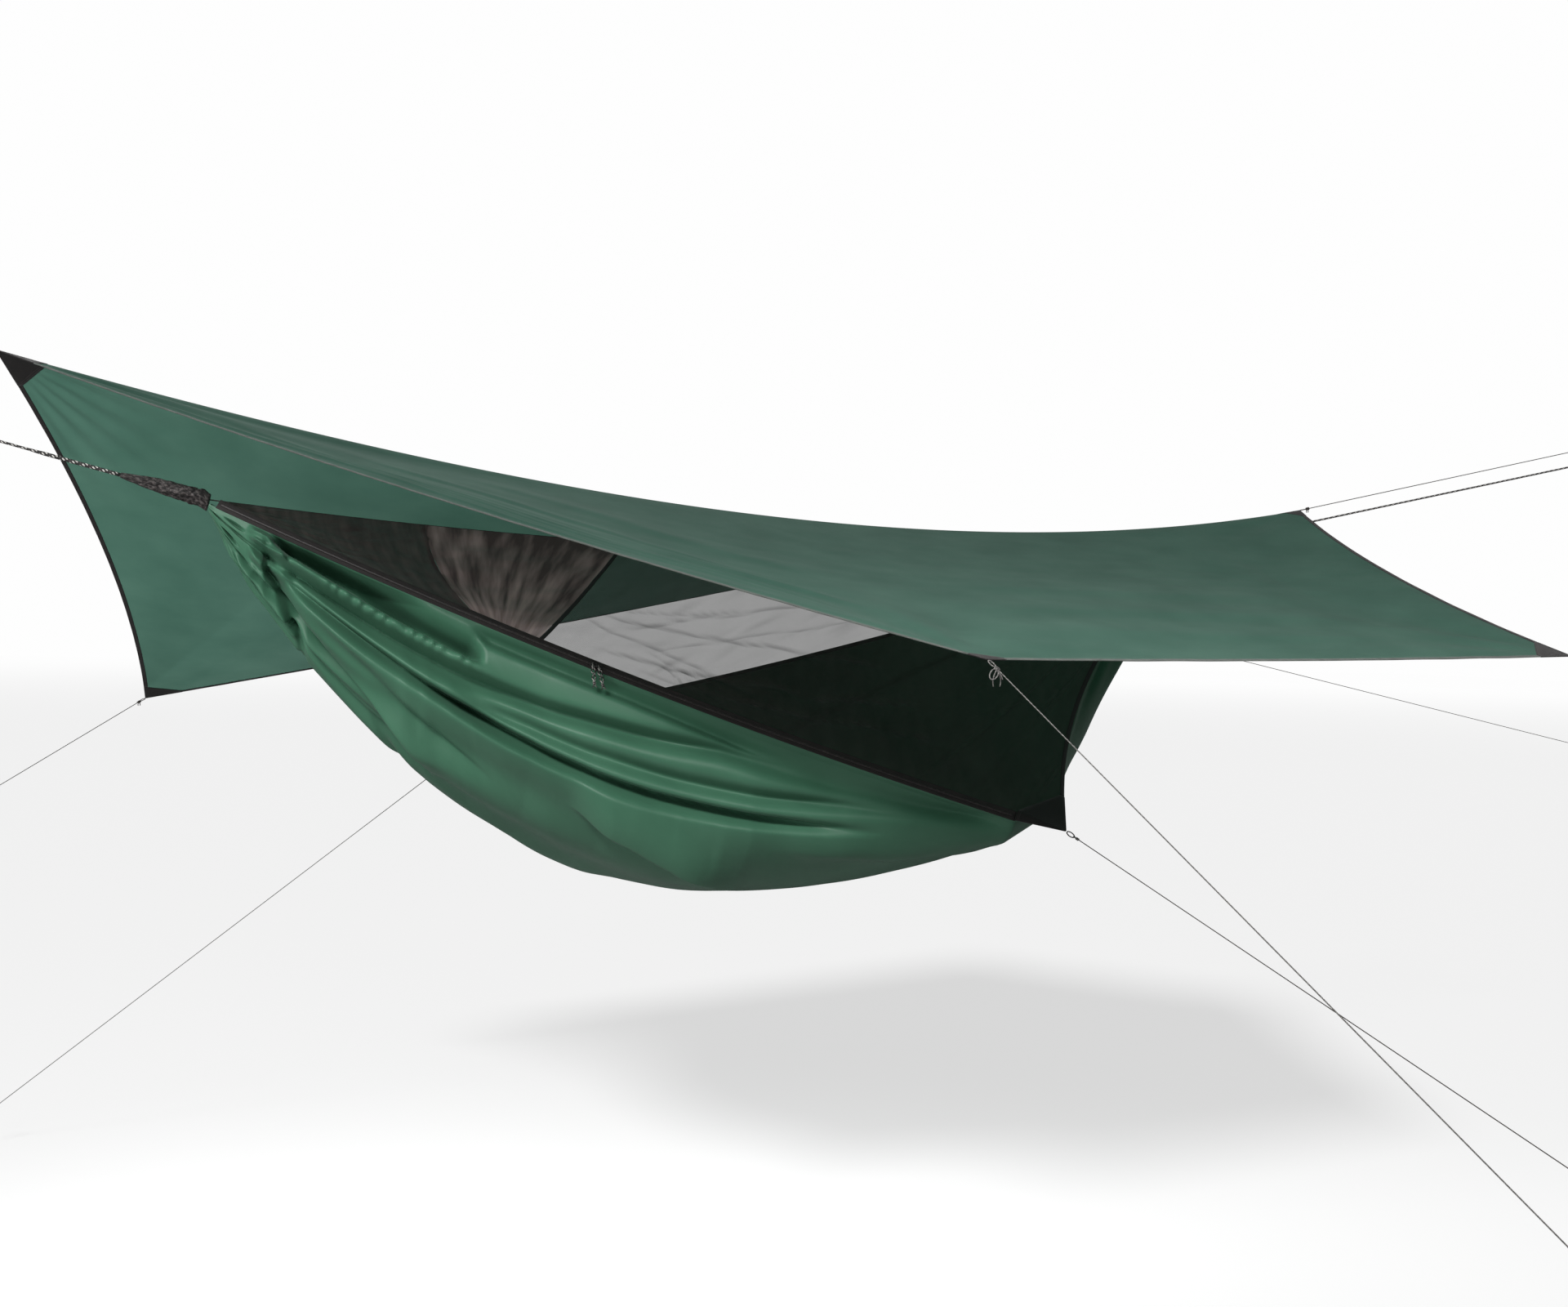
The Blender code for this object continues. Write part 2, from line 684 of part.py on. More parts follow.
# Side tie-outs: an elastic loop at each patch, and the guyline hitched to it
TIP_CLEAR = 0.0009
LOOP_LONG = 0.011
LOOP_WIDE = 0.005
LOOP_R = 0.0014
HITCH_R = 0.0032
HITCH_CORD_R = 0.0009
GUY_KNOT_L = 0.010
GUY_KNOT_R = 0.0036
END_KNOT_L = 0.016
END_KNOT_R = 0.0042


def tieout(prefix, patch_tip, direction, length):
    """Elastic loop, hitch, guyline and end loop; the guyline swings about the loop's far end."""
    across, upright = frame_from(direction)
    loop_centre = patch_tip + direction * (LOOP_LONG + LOOP_R + TIP_CLEAR)
    torus = torus_object(prefix + "_elastic_loop", loop_centre, upright, LOOP_WIDE, LOOP_R, "hammock",
                         stretch=LOOP_LONG / LOOP_WIDE, along=direction, steps=18, sides=6)
    finish(torus, "hammock", BLACK)
    pivot = loop_centre + direction * LOOP_LONG
    body = prefix + "_guyline"
    add_body(body, pivot)
    hitch = torus_object(prefix + "_guyline_hitch_ring", pivot + direction * 0.0006, across, HITCH_R, HITCH_CORD_R,
                         body, steps=14, sides=6)
    hitch.parent = EMPTIES[body]
    knot_start = pivot + direction * (HITCH_R + HITCH_CORD_R * 0.5)
    knot = turned(prefix + "_guyline_hitch", knot_start, direction, knot_profile(GUY_KNOT_L, GUY_KNOT_R, 2), 8, body)
    join_solids(knot, hitch)
    finish(knot, body, CORD_GREY)
    start = knot_start + direction * (GUY_KNOT_L + GAP)
    stop = start + direction * length
    tube(prefix + "_guyline", straight(start, stop), GUY_R, body, CORD_GREY)
    knotted_loop(prefix + "_guyline_end", stop + direction * GAP, direction, END_KNOT_L, END_KNOT_R, GUY_LOOP_R,
                 GUY_R, body, CORD_GREY)


NEAR_GUY_L = 1.22
FAR_GUY_L = 2.28
tieout("near", near_tip, NEAR_GUY, NEAR_GUY_L)
tieout("far", far_tip, FAR_GUY, FAR_GUY_L)


# Zip sliders, which run along the chain's arc, and their cord pulls
GROOVE_CLEAR = 0.0004
BRIDGE_R = 0.0019
BRIDGE_BAR = 0.0006
BRIDGE_STAND = 0.0008
PULL_RING_R = 0.0014
PULL_RING_BAR = 0.0005
PULL_TILT = radians(10)      # of the pulls away from the tape's plane, over the cloth
PULL_DRIFT = 0.6             # of the pulls along the tape, downhill, for a unit across it
SLIDER_APART = 0.0010


def local_frame(t):
    """Origin, tangent, up and outward directions at t on the zip tape."""
    up = tape_up(t)
    along = near_long.tangent(t)
    return near_long.point(t), along, up, np.cross(along, up)


def block(name, place, outline_points, low, high, body):
    """A prism over an outline in the tape's plane, between two heights outside it."""
    middle, along, up, out = place
    count = len(outline_points)
    points = [middle + along * a + up * b + out * height for height in (low, high) for a, b in outline_points]
    faces = [tuple(range(count)), tuple(reversed(range(count, 2 * count)))]
    for k in range(count):
        m = (k + 1) % count
        faces.append((k, m, m + count, k + count))
    return mesh_object(name, points, faces, body)


def zip_slider(prefix, side):
    """A slider and its pull; side is -1 for the left one."""
    t = ZIP_MEET + side * (SLIDER_L + SLIDER_APART) / 2 / near_long.length
    place = local_frame(t)
    middle, along, up, out = place
    body = prefix + "_slider"
    add_body(body, near_long.centre)
    foot = TAPE_T / 2 + GAP
    nose = -side
    half = SLIDER_L / 2
    shape = [(-half * nose, -0.36 * SLIDER_W), (-0.2 * half * nose, -SLIDER_W / 2), (half * nose, -0.44 * SLIDER_W),
             (half * nose, 0.44 * SLIDER_W), (-0.2 * half * nose, SLIDER_W / 2), (-half * nose, 0.36 * SLIDER_W)]
    shell = block(prefix + "_zip_slider", place, shape, foot, foot + SLIDER_T, body)
    groove_half = CHAIN_W / 2 + GROOVE_CLEAR
    groove_top = TAPE_T / 2 + GAP + CHAIN_T + GROOVE_CLEAR
    groove_shape = [(-SLIDER_L, -groove_half), (SLIDER_L, -groove_half), (SLIDER_L, groove_half),
                    (-SLIDER_L, groove_half)]
    groove = block(prefix + "_groove", place, groove_shape, foot - SLIDER_T, groove_top, body)
    groove.parent = EMPTIES[body]
    cut_solid(shell, groove)
    top = foot + SLIDER_T
    bridge = torus_object(prefix + "_bridge", middle + out * (top + BRIDGE_STAND), up, BRIDGE_R, BRIDGE_BAR, body,
                          steps=12, sides=6)
    bridge.parent = EMPTIES[body]
    join_solids(shell, bridge)
    finish(shell, body, BLACK, 0.4)
    bar = middle + out * (top + BRIDGE_STAND + BRIDGE_R)
    swing = prefix + "_pull"
    add_body(swing, bar)
    hang = unit(-up * cos(PULL_TILT) + out * sin(PULL_TILT) + along * PULL_DRIFT)
    ring = torus_object(prefix + "_pull_ring", bar, along, PULL_RING_R, PULL_RING_BAR, swing, steps=12, sides=5)
    ring.parent = EMPTIES[swing]
    profile = [(0, PULL_R * 0.6)]
    beads = 6
    for i in range(beads):
        profile.append(((i + 0.5) * PULL_L / beads, PULL_R))
        profile.append(((i + 1) * PULL_L / beads, PULL_R * 0.72))
    profile.append((PULL_L + 0.003, PULL_R * 1.5))
    profile.append((PULL_L + 0.007, PULL_R * 1.2))
    pull = turned(prefix + "_zip_pull", bar + hang * PULL_RING_R, hang, profile, 7, swing)
    join_solids(pull, ring)
    finish(pull, swing, BLACK, 0.7)


zip_slider("left", -1)
zip_slider("right", 1)


# Tarp: one sheet ruled from its sagging ridge to its edges
def tarp_ridge(x):
    share = (x - TARP_L[0]) / (TARP_R[0] - TARP_L[0])
    sag = 4 * share * (1 - share) * (RIDGE_SAG + RIDGE_SKEW * share)
    return mix(TARP_L, TARP_R, share) - vec(0, 0, sag)


EDGES = {
    "near_long": Arc(TARP_L, TARP_NM, 0.024, vec(0, 0.3, -1)),
    "near_low": Arc(TARP_NM, TARP_NR, 0.006, vec(0, 0, -1)),
    "near_end": Arc(TARP_NR, TARP_R, 0.055, vec(-1, 0.4, -0.2)),
    "far_end": Arc(TARP_L, TARP_FL, 0.066, vec(1, -0.3, -0.2)),
    "far_low": Arc(TARP_FL, TARP_F2, 0.012, vec(0, -0.5, -1)),
    "far_long": Arc(TARP_F2, TARP_R, 0.030, vec(0, -0.5, -1)),
}
NEAR_RUN = ("near_long", "near_low", "near_end")
FAR_RUN = ("far_end", "far_low", "far_long")
CUTS = {"near_long": (0.110, 0.040), "near_low": (0.040, 0.100), "near_end": (0.100, 0.060),
        "far_end": (0.110, 0.070), "far_low": (0.110, 0.090), "far_long": (0.090, 0.060)}
STEPS = {"near_long": 11, "near_low": 6, "near_end": 6, "far_end": 6, "far_low": 10, "far_long": 7}
PANEL_BELLY = 0.018


def inward(name, t):
    """Direction into the tarp from its edge, square to the edge."""
    arc = EDGES[name]
    p = arc.point(t)
    toward = tarp_ridge(0.75 * p[0]) - p
    along = arc.tangent(t)
    return unit(toward - along * np.dot(toward, along))


def cut_share(name, which, extra=0.0):
    """Share along an edge at which its corner patch ends, moved by extra metres."""
    arc = EDGES[name]
    low, high = CUTS[name]
    if which == 0:
        return (low + extra) / arc.length
    return 1 - (high + extra) / arc.length


def inset(name, t, distance):
    return EDGES[name].point(t) + inward(name, t) * distance


def edge_stations(run):
    """Points along one side of the canopy, inside its bindings and cut corners."""
    points = []
    for name in run:
        low, high = cut_share(name, 0), cut_share(name, 1)
        for i in range(STEPS[name] + 1):
            points.append(inset(name, mix(low, high, i / STEPS[name]), BINDING_W + GAP))
    return points


def canopy_rows():
    near = edge_stations(NEAR_RUN)
    far = edge_stations(FAR_RUN)
    first = TARP_L[0] + CUTS["near_long"][0]
    last = TARP_R[0] - CUTS["near_end"][1]
    rows = []
    for i, (a, b) in enumerate(zip(near, far)):
        middle = tarp_ridge(mix(first, last, i / (len(near) - 1)))
        row = []
        for j in range(CANOPY_HALF):
            row.append(belly(mix(a, middle, j / CANOPY_HALF), j / CANOPY_HALF, i / (len(near) - 1)))
        row.append(middle)
        for j in range(1, CANOPY_HALF + 1):
            row.append(belly(mix(middle, b, j / CANOPY_HALF), j / CANOPY_HALF, i / (len(near) - 1)))
        rows.append(row)
    return rows


def belly(p, v, s):
    return p - vec(0, 0, PANEL_BELLY * 4 * v * (1 - v) * 4 * s * (1 - s))


CANOPY_HALF = 6
sheet("tarp_canopy", canopy_rows(), TARP_CLOTH, "tarp", TARP_GREEN, 0.5)

for edge_name, arc in EDGES.items():
    low = cut_share(edge_name, 0)
    high = cut_share(edge_name, 1)
    count = STEPS[edge_name]
    rows = []
    for i in range(count + 1):
        t = mix(low, high, i / count)
        rows.append([inset(edge_name, t, BINDING_W), arc.point(t)])
    sheet("tarp_" + edge_name + "_binding", rows, BINDING_T, "tarp", BLACK)


# Corner patches of the tarp, and a cord or ring at each
def corner_patch(name, tip, edge_a, edge_b):
    """Patch between the end of edge_a and the start of edge_b."""
    sa = cut_share(edge_a, 1, -GAP)
    sb = cut_share(edge_b, 0, -GAP)
    rim = [EDGES[edge_a].point(sa), inset(edge_a, sa, BINDING_W), inset(edge_b, sb, BINDING_W), EDGES[edge_b].point(sb)]
    return fan(name, tip, rim, PATCH_T, "tarp", BLACK)


def end_patch(name, tip, edge_a, which_a, edge_b, which_b, ridge_x):
    """Patch over the ridge at one end of the tarp."""
    sa = cut_share(edge_a, which_a, -GAP)
    sb = cut_share(edge_b, which_b, -GAP)
    rim = [EDGES[edge_a].point(sa), inset(edge_a, sa, BINDING_W), tarp_ridge(ridge_x),
           inset(edge_b, sb, BINDING_W), EDGES[edge_b].point(sb)]
    return fan(name, tip, rim, PATCH_T, "tarp", BLACK)


end_patch("tarp_left_patch", TARP_L, "near_long", 0, "far_end", 0, TARP_L[0] + CUTS["near_long"][0] - 2 * GAP)
end_patch("tarp_right_patch", TARP_R, "near_end", 1, "far_long", 1, TARP_R[0] - CUTS["near_end"][1] + 2 * GAP)
corner_patch("tarp_near_middle_patch", TARP_NM, "near_long", "near_low")
corner_patch("tarp_near_right_patch", TARP_NR, "near_low", "near_end")
corner_patch("tarp_far_left_patch", TARP_FL, "far_end", "far_low")
corner_patch("tarp_far_right_patch", TARP_F2, "far_low", "far_long")


def tip_loop(name, tip, direction, long, wide, cord_r, knot_length, knot_r, body, colour):
    """A loop of cord at a corner, with its knot outside it; gives the point where the line leaves."""
    across, upright = frame_from(direction)
    centre = tip + direction * (TIP_CLEAR + cord_r + long)
    knot_start = centre + direction * (long - 0.5 * cord_r)
    knot = turned(name, knot_start, direction, knot_profile(knot_length, knot_r, 2), 8, body)
    loop = torus_object(name + "_ring", centre, upright, wide, cord_r, body, stretch=long / wide, along=direction,
                        steps=16, sides=6)
    loop.parent = EMPTIES[body]
    join_solids(knot, loop)
    finish(knot, body, colour, 0.6)
    return knot_start + direction * knot_length


def guyline(name, start, direction, length, radius=GUY_R):
    begin = start + direction * GAP
    stop = begin + direction * length
    tube(name, straight(begin, stop), radius, "tarp", CORD_GREY)
    knotted_loop(name + "_end", stop + direction * GAP, direction, END_KNOT_L, END_KNOT_R, GUY_LOOP_R, radius, "tarp",
                 CORD_GREY)


TIE_LONG, TIE_WIDE = 0.010, 0.006
LINE_LENGTHS = {"far_left": 0.74, "far_right": 3.13, "near": 1.30}

tip_loop("tarp_left_loop", TARP_L, unit(vec(-1, 0, 0.22)), TIE_LONG, TIE_WIDE, GUY_R, 0.012, 0.0040, "tarp", BLACK)
start = tip_loop("tarp_far_left_loop", TARP_FL, FL_GUY, TIE_LONG, TIE_WIDE, GUY_R, 0.014, 0.0042, "tarp", BLACK)
guyline("tarp_far_left_guyline", start, FL_GUY, LINE_LENGTHS["far_left"])
start = tip_loop("tarp_far_right_loop", TARP_F2, F2_GUY, TIE_LONG, TIE_WIDE, GUY_R, 0.014, 0.0042, "tarp", BLACK)
guyline("tarp_far_right_guyline", start, F2_GUY, LINE_LENGTHS["far_right"])
start = tip_loop("tarp_near_loop", TARP_NM, NM_GUY, TIE_LONG, TIE_WIDE, GUY_R, 0.012, 0.0042, "tarp", CORD_GREY)
guyline("tarp_near_guyline", start, NM_GUY, LINE_LENGTHS["near"])
start = tip_loop("tarp_right_loop", TARP_R, RIDGE_OUT, TIE_LONG, TIE_WIDE, RIDGE_CORD_R, 0.016, 0.0050, "tarp", BLACK)
reach = np.linalg.norm(RIDGE_LOOP_CENTRE - start) - (END_KNOT_L + GUY_LOOP_R - RIDGE_CORD_R + 2 * GAP)
guyline("tarp_ridge_cord", start, RIDGE_OUT, reach, RIDGE_CORD_R)
tip_loop("tarp_near_right_clip", TARP_NR, unit(TARP_NR - TARP_NM), 0.009, 0.006, 0.0014, 0.010, 0.0045, "tarp",
         SILVER)
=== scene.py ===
"""Looks of the camping hammock: its cloth, nets, cords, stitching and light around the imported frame.

All sizes are in metres. Points are given in the design frame of the CAD part, with its origin midway
between the two gathered ends, +X along the ridge, +Y towards the far side and +Z up; they move to the
part's own frame when a piece is made.
"""

import bmesh
import bpy
import numpy as np
from math import asin, cos, pi, radians, sin, tan
from mathutils import Matrix


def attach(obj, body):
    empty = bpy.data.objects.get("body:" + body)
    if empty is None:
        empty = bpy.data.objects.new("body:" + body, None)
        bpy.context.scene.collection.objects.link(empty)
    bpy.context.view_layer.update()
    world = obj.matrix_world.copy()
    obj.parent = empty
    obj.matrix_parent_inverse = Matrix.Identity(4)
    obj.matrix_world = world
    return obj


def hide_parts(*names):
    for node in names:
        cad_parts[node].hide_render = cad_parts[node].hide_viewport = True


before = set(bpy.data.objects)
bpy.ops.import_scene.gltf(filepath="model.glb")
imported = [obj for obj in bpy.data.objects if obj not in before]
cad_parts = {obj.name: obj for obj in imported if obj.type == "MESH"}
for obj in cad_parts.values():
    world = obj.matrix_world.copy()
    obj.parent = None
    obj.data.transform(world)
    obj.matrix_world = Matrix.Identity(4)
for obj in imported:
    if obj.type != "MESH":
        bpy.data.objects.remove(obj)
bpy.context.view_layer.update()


def vec(x, y, z):
    return np.array([x, y, z], dtype=float)


def unit(v):
    return v / np.linalg.norm(v)


def mix(a, b, t):
    return a + (b - a) * t


def units(rows):
    return rows / np.linalg.norm(rows, axis=-1, keepdims=True)


def square_to(direction, v):
    """The unit vector nearest to v that is square to a direction."""
    return unit(v - direction * np.dot(direction, v))


def distances(points):
    """Distance of each point along a line of points, from its first."""
    return np.concatenate([[0], np.cumsum(np.linalg.norm(np.diff(points, axis=0), axis=1))])


def oval(centre, long, wide, count):
    """Points of a closed ring, from its two half axes."""
    return [centre + cos(a) * long + sin(a) * wide for a in np.linspace(0, 2 * pi, count + 1)[:-1]]


def bisect(low, high, rounds, falls_short):
    """Closes in on the value from which falls_short is no longer true."""
    for _ in range(rounds):
        middle = (low + high) / 2
        if falls_short(middle):
            low = middle
        else:
            high = middle
    return (low + high) / 2


# Sizes of the frame, as in the CAD part
GAP = 0.0003
SEAM_GAP = 0.0009
HALF_SPAN = 1.38
END_TILT = 0.007
NEAR_TIE = vec(0.572, -0.742, -0.747)
FAR_TIE = vec(-0.572, 0.742, -0.590)
BODY_DEPTH = 0.990
DEEPEST_X = -0.10
LEFT_FULLNESS = 0.92
RIGHT_FULLNESS = 1.20
LONG_EDGE_SAG = 0.036
SHORT_EDGE_PULL = 0.130
GATHER_R = 0.015
TAPE_W = 0.024
TAPE_T = 0.0022
TAPE_LEAN = radians(20)
CHAIN_W = 0.0060
CHAIN_T = 0.0020
ZIP_MEET = 0.461
ZIP_LOW = 0.012
SLIDER_L = 0.014
SLIDER_T = 0.0046
SLIDER_APART = 0.0010
BRIDGE_R = 0.0019
BRIDGE_STAND = 0.0008
PULL_RING_R = 0.0014
PULL_L = 0.055
PULL_TILT = radians(10)
PULL_DRIFT = 0.6
BINDING_W = 0.012
BINDING_T = 0.0022
PATCH_T = 0.0024
TIE_PATCH_LONG = 0.125
TIE_PATCH_SHORT = 0.145
NET_T = 0.0010
NET_SAG = 0.060
NET_CORD_R = 0.0015
SEAM_W = 0.010
END_CUT = 0.045
NET_END = HALF_SPAN - END_CUT
HEAD_SEAM_TOP, HEAD_SEAM_FOOT, HEAD_SEAM_BOW = -0.870, -0.780, -0.020
BLACK_SEAM_TOP, BLACK_SEAM_FOOT = -0.350, -0.620
BODY_LEFT = -HALF_SPAN + 0.0072
BODY_RIGHT = HALF_SPAN - 0.0048
FOLDS = 6
FOLD_DEPTH = 0.020
TARP_L = vec(-1.840, 0.0, 0.330)
TARP_R = vec(1.840, 0.0, 0.139)
TARP_NM = vec(0.083, -1.261, -0.326)
TARP_NR = vec(1.642, -1.184, -0.299)
TARP_FL = vec(-1.642, 1.184, -0.542)
TARP_F2 = vec(0.834, 1.250, -0.023)
RIDGE_SAG = 0.165
RIDGE_SKEW = 0.060
PANEL_BELLY = 0.018
SUSPENSION_R = 0.0030
SPLICE_R = 0.0046
SPLICE_L = 0.20
SPLICE_TAPER = 0.03
RIDGE_CORD_R = 0.0014
GUY_R = 0.0012
LEFT_RISE = 0.250
RIGHT_RISE = 0.221
LEFT_ROPE_END = -1.900
RIGHT_ROPE_END = 3.060
SLEEVE_L = 0.200
SLEEVE_R = 0.019
MOUTH_DROP = 0.008
ANCHOR_LOOP_R = 0.032
GUY_LOOP_R = 0.020
KNOT_L = 0.030
KNOT_R = 0.0085
END_KNOT_L = 0.016
END_KNOT_R = 0.0042
TIP_CLEAR = 0.0009
LOOP_LONG = 0.011
LOOP_WIDE = 0.005
LOOP_R = 0.0014
HITCH_R = 0.0032
HITCH_CORD_R = 0.0009
GUY_KNOT_L = 0.010
GUY_KNOT_R = 0.0036
TIE_LONG, TIE_WIDE = 0.010, 0.006
NEAR_GUY_L = 1.22
FAR_GUY_L = 2.28
FAR_LEFT_L, FAR_RIGHT_L, NEAR_MIDDLE_L = 0.74, 3.13, 1.30
NEAR_GUY = unit(vec(0.450, -0.783, -0.429))
FAR_GUY = unit(vec(-0.689, 0.398, -0.606))
FL_GUY = unit(vec(-0.685, 0.575, -0.448))
F2_GUY = unit(vec(0.963, -0.170, -0.211))
NM_GUY = unit(vec(0.326, -0.728, -0.600))
LEFT_END = vec(-HALF_SPAN, 0, END_TILT)
RIGHT_END = vec(HALF_SPAN, 0, -END_TILT)
LEFT_ROPE = unit(vec(-1, 0, LEFT_RISE))
RIGHT_ROPE = unit(vec(1, 0, RIGHT_RISE))
LEFT_KNOT = LEFT_END + LEFT_ROPE * (LEFT_ROPE_END - LEFT_END[0]) / LEFT_ROPE[0]
RIGHT_KNOT = RIGHT_END + RIGHT_ROPE * (RIGHT_ROPE_END - RIGHT_END[0]) / RIGHT_ROPE[0]
HOLD_POINT = LEFT_KNOT + LEFT_ROPE * (KNOT_L + 2 * ANCHOR_LOOP_R - 3 * SUSPENSION_R)
RIGHT_ANCHOR_CENTRE = RIGHT_KNOT + RIGHT_ROPE * (KNOT_L + ANCHOR_LOOP_R - SUSPENSION_R)
RIDGE_LOOP_CENTRE = RIGHT_ANCHOR_CENTRE + vec(0, 0, ANCHOR_LOOP_R + GUY_LOOP_R + GAP)
RIDGE_OUT = unit(RIDGE_LOOP_CENTRE - TARP_R)
DOWN = vec(0, 0, -1)
FLOOR_Z = -2.12              # ground level, just below the lowest guyline's end


# Camera at the photograph's place
EYE = vec(-1.129, -3.584, -0.275)
YAW, PITCH, ROLL = radians(19.01), radians(-1.05), radians(1.26)
LENS = 31.21


def stand(obj, across, over, back, place):
    """Puts a camera or lamp at a place of the design frame, with its own axes along the given ones."""
    turn = np.eye(4)
    turn[:3] = np.stack([across, over, back, place - HOLD_POINT], 1)
    obj.matrix_world = Matrix(turn.tolist())
    bpy.context.scene.collection.objects.link(obj)


def add_camera():
    ahead = vec(sin(YAW) * cos(PITCH), cos(YAW) * cos(PITCH), sin(PITCH))
    level = vec(cos(YAW), -sin(YAW), 0)
    upright = np.cross(level, ahead)
    data = bpy.data.cameras.new("camera")
    data.lens = LENS
    data.sensor_width = 36
    data.clip_end = 200
    camera = bpy.data.objects.new("camera", data)
    across = level * cos(ROLL) + upright * sin(ROLL)
    over = upright * cos(ROLL) - level * sin(ROLL)
    stand(camera, across, over, -ahead, EYE)
    bpy.context.scene.camera = camera


add_camera()


# Smooth curves and small waves
class Arc:
    """A circular arc from a to b that bulges by sag along the direction towards."""

    def __init__(self, a, b, sag, towards):
        chord = b - a
        self.along = unit(chord)
        self.out = square_to(self.along, towards)
        self.length = float(np.linalg.norm(chord))
        self.radius = (self.length ** 2 / 4 + sag ** 2) / (2 * sag)
        self.centre = mix(a, b, 0.5) - self.out * (self.radius - sag)
        self.axis = np.cross(self.along, self.out)
        self.half = asin(self.length / (2 * self.radius))

    def radial(self, t):
        angle = (2 * t - 1) * self.half
        return cos(angle) * self.out + sin(angle) * self.along

    def point(self, t):
        return self.centre + self.radius * self.radial(t)

    def tangent(self, t):
        angle = (2 * t - 1) * self.half
        return cos(angle) * self.along - sin(angle) * self.out


def waves(seed, count=7):
    """A smooth random field of two coordinates, between about -1 and 1, for features one unit wide."""
    rng = np.random.default_rng(seed)
    turn = rng.uniform(0, 2 * pi, count)
    pace = pi * rng.uniform(0.6, 1.7, count)
    phase = rng.uniform(0, 2 * pi, count)

    def field(a, b):
        total = 0.0
        for k in range(count):
            total = total + np.cos(pace[k] * (a * cos(turn[k]) + b * sin(turn[k])) + phase[k])
        return total / (0.62 * count)

    return field


def rise(x, low, high):
    """Goes smoothly from 0 at low to 1 at high."""
    s = np.clip((x - low) / (high - low), 0, 1)
    return s * s * (3 - 2 * s)


def span(x, low, full, fading, end):
    """Goes smoothly from 0 at low to 1 at full, and from 1 at fading back to 0 at end."""
    return rise(x, low, full) * (1 - rise(x, fading, end))


def lip(s, over, under):
    """A fold's profile at distance s from its crease: a slow rise above it, a steep fall below."""
    return np.where(s < 0, np.exp(-(s / over) ** 2), np.exp(-(s / under) ** 2))


# Outline of the hammock
SIDE = vec(0, GATHER_R, 0)
near_long = Arc(LEFT_END - SIDE, NEAR_TIE, LONG_EDGE_SAG, DOWN)
near_short = Arc(NEAR_TIE, RIGHT_END - SIDE, SHORT_EDGE_PULL, vec(-0.8, 0.3, -0.5))
far_short = Arc(LEFT_END + SIDE, FAR_TIE, SHORT_EDGE_PULL, vec(0.8, -0.3, -0.5))
far_long = Arc(FAR_TIE, RIGHT_END + SIDE, LONG_EDGE_SAG, DOWN)
NEAR_PATCH_A = 1 - TIE_PATCH_LONG / near_long.length
NEAR_PATCH_B = TIE_PATCH_SHORT / near_short.length
FAR_PATCH_A = 1 - TIE_PATCH_SHORT / far_short.length
FAR_PATCH_B = TIE_PATCH_LONG / far_long.length


def tape_up(t):
    """Direction across the zip tape, towards the net."""
    return -cos(TAPE_LEAN) * near_long.radial(t) + sin(TAPE_LEAN) * near_long.axis


def net_ridge(x):
    """The sagging ridge line that carries the net."""
    share = 1 - (x / HALF_SPAN) ** 2
    return vec(x, 0, -END_TILT * x / HALF_SPAN - NET_SAG * share)


def body_bottom(x):
    """Height of the body's lowest line."""
    side, power = (-1, LEFT_FULLNESS) if x < DEEPEST_X else (1, RIGHT_FULLNESS)
    share = max(0.0, 1 - ((x - DEEPEST_X) / (side * HALF_SPAN - DEEPEST_X)) ** 2)
    return -END_TILT * x / HALF_SPAN - GATHER_R - (BODY_DEPTH - GATHER_R) * share ** power


def section_control(near_z, far_z, floor):
    """Height of a cross-section's middle control points for which its lowest point meets the floor."""
    t = np.arange(25) / 24

    def too_low(control):
        return np.min((1 - t) ** 3 * near_z + 3 * t * (1 - t) * control + t ** 3 * far_z) < floor

    return bisect(floor - 1.0, min(near_z, far_z), 30, too_low)


def binding_up(side, arc, t):
    """Direction of an edge binding's width, square to its edge."""
    lean = vec(-0.35, 0.55, 0.75) if side == "near" else vec(0, -sin(TAPE_LEAN), cos(TAPE_LEAN))
    return square_to(arc.tangent(t), lean)


def share_at(arc, x):
    return bisect(0.0, 1.0, 40, lambda t: arc.point(t)[0] < x)


def hem_on(side, arc, t, way, beyond=0.0):
    """A point on the edge of the tape or binding that follows an arc, or beyond that edge."""
    if arc is near_long:
        return arc.point(t) + tape_up(t) * way * (TAPE_W / 2 + beyond)
    return arc.point(t) + binding_up(side, arc, t) * way * (BINDING_W / 2 + beyond)


def hem(side, x, way, beyond=0.0):
    """A point at x on the net side (way 1) or body side (-1) of a side's tape or binding, or beyond it."""
    if side == "near":
        a, b, sa, sb = near_long, near_short, NEAR_PATCH_A, NEAR_PATCH_B
    else:
        a, b, sa, sb = far_short, far_long, FAR_PATCH_A, FAR_PATCH_B
    xa, xb = a.point(sa)[0], b.point(sb)[0]
    if x <= xa:
        return hem_on(side, a, share_at(a, x), way, beyond)
    if x >= xb:
        return hem_on(side, b, share_at(b, x), way, beyond)
    return mix(hem_on(side, a, sa, way, beyond), hem_on(side, b, sb, way, beyond), (x - xa) / (xb - xa))


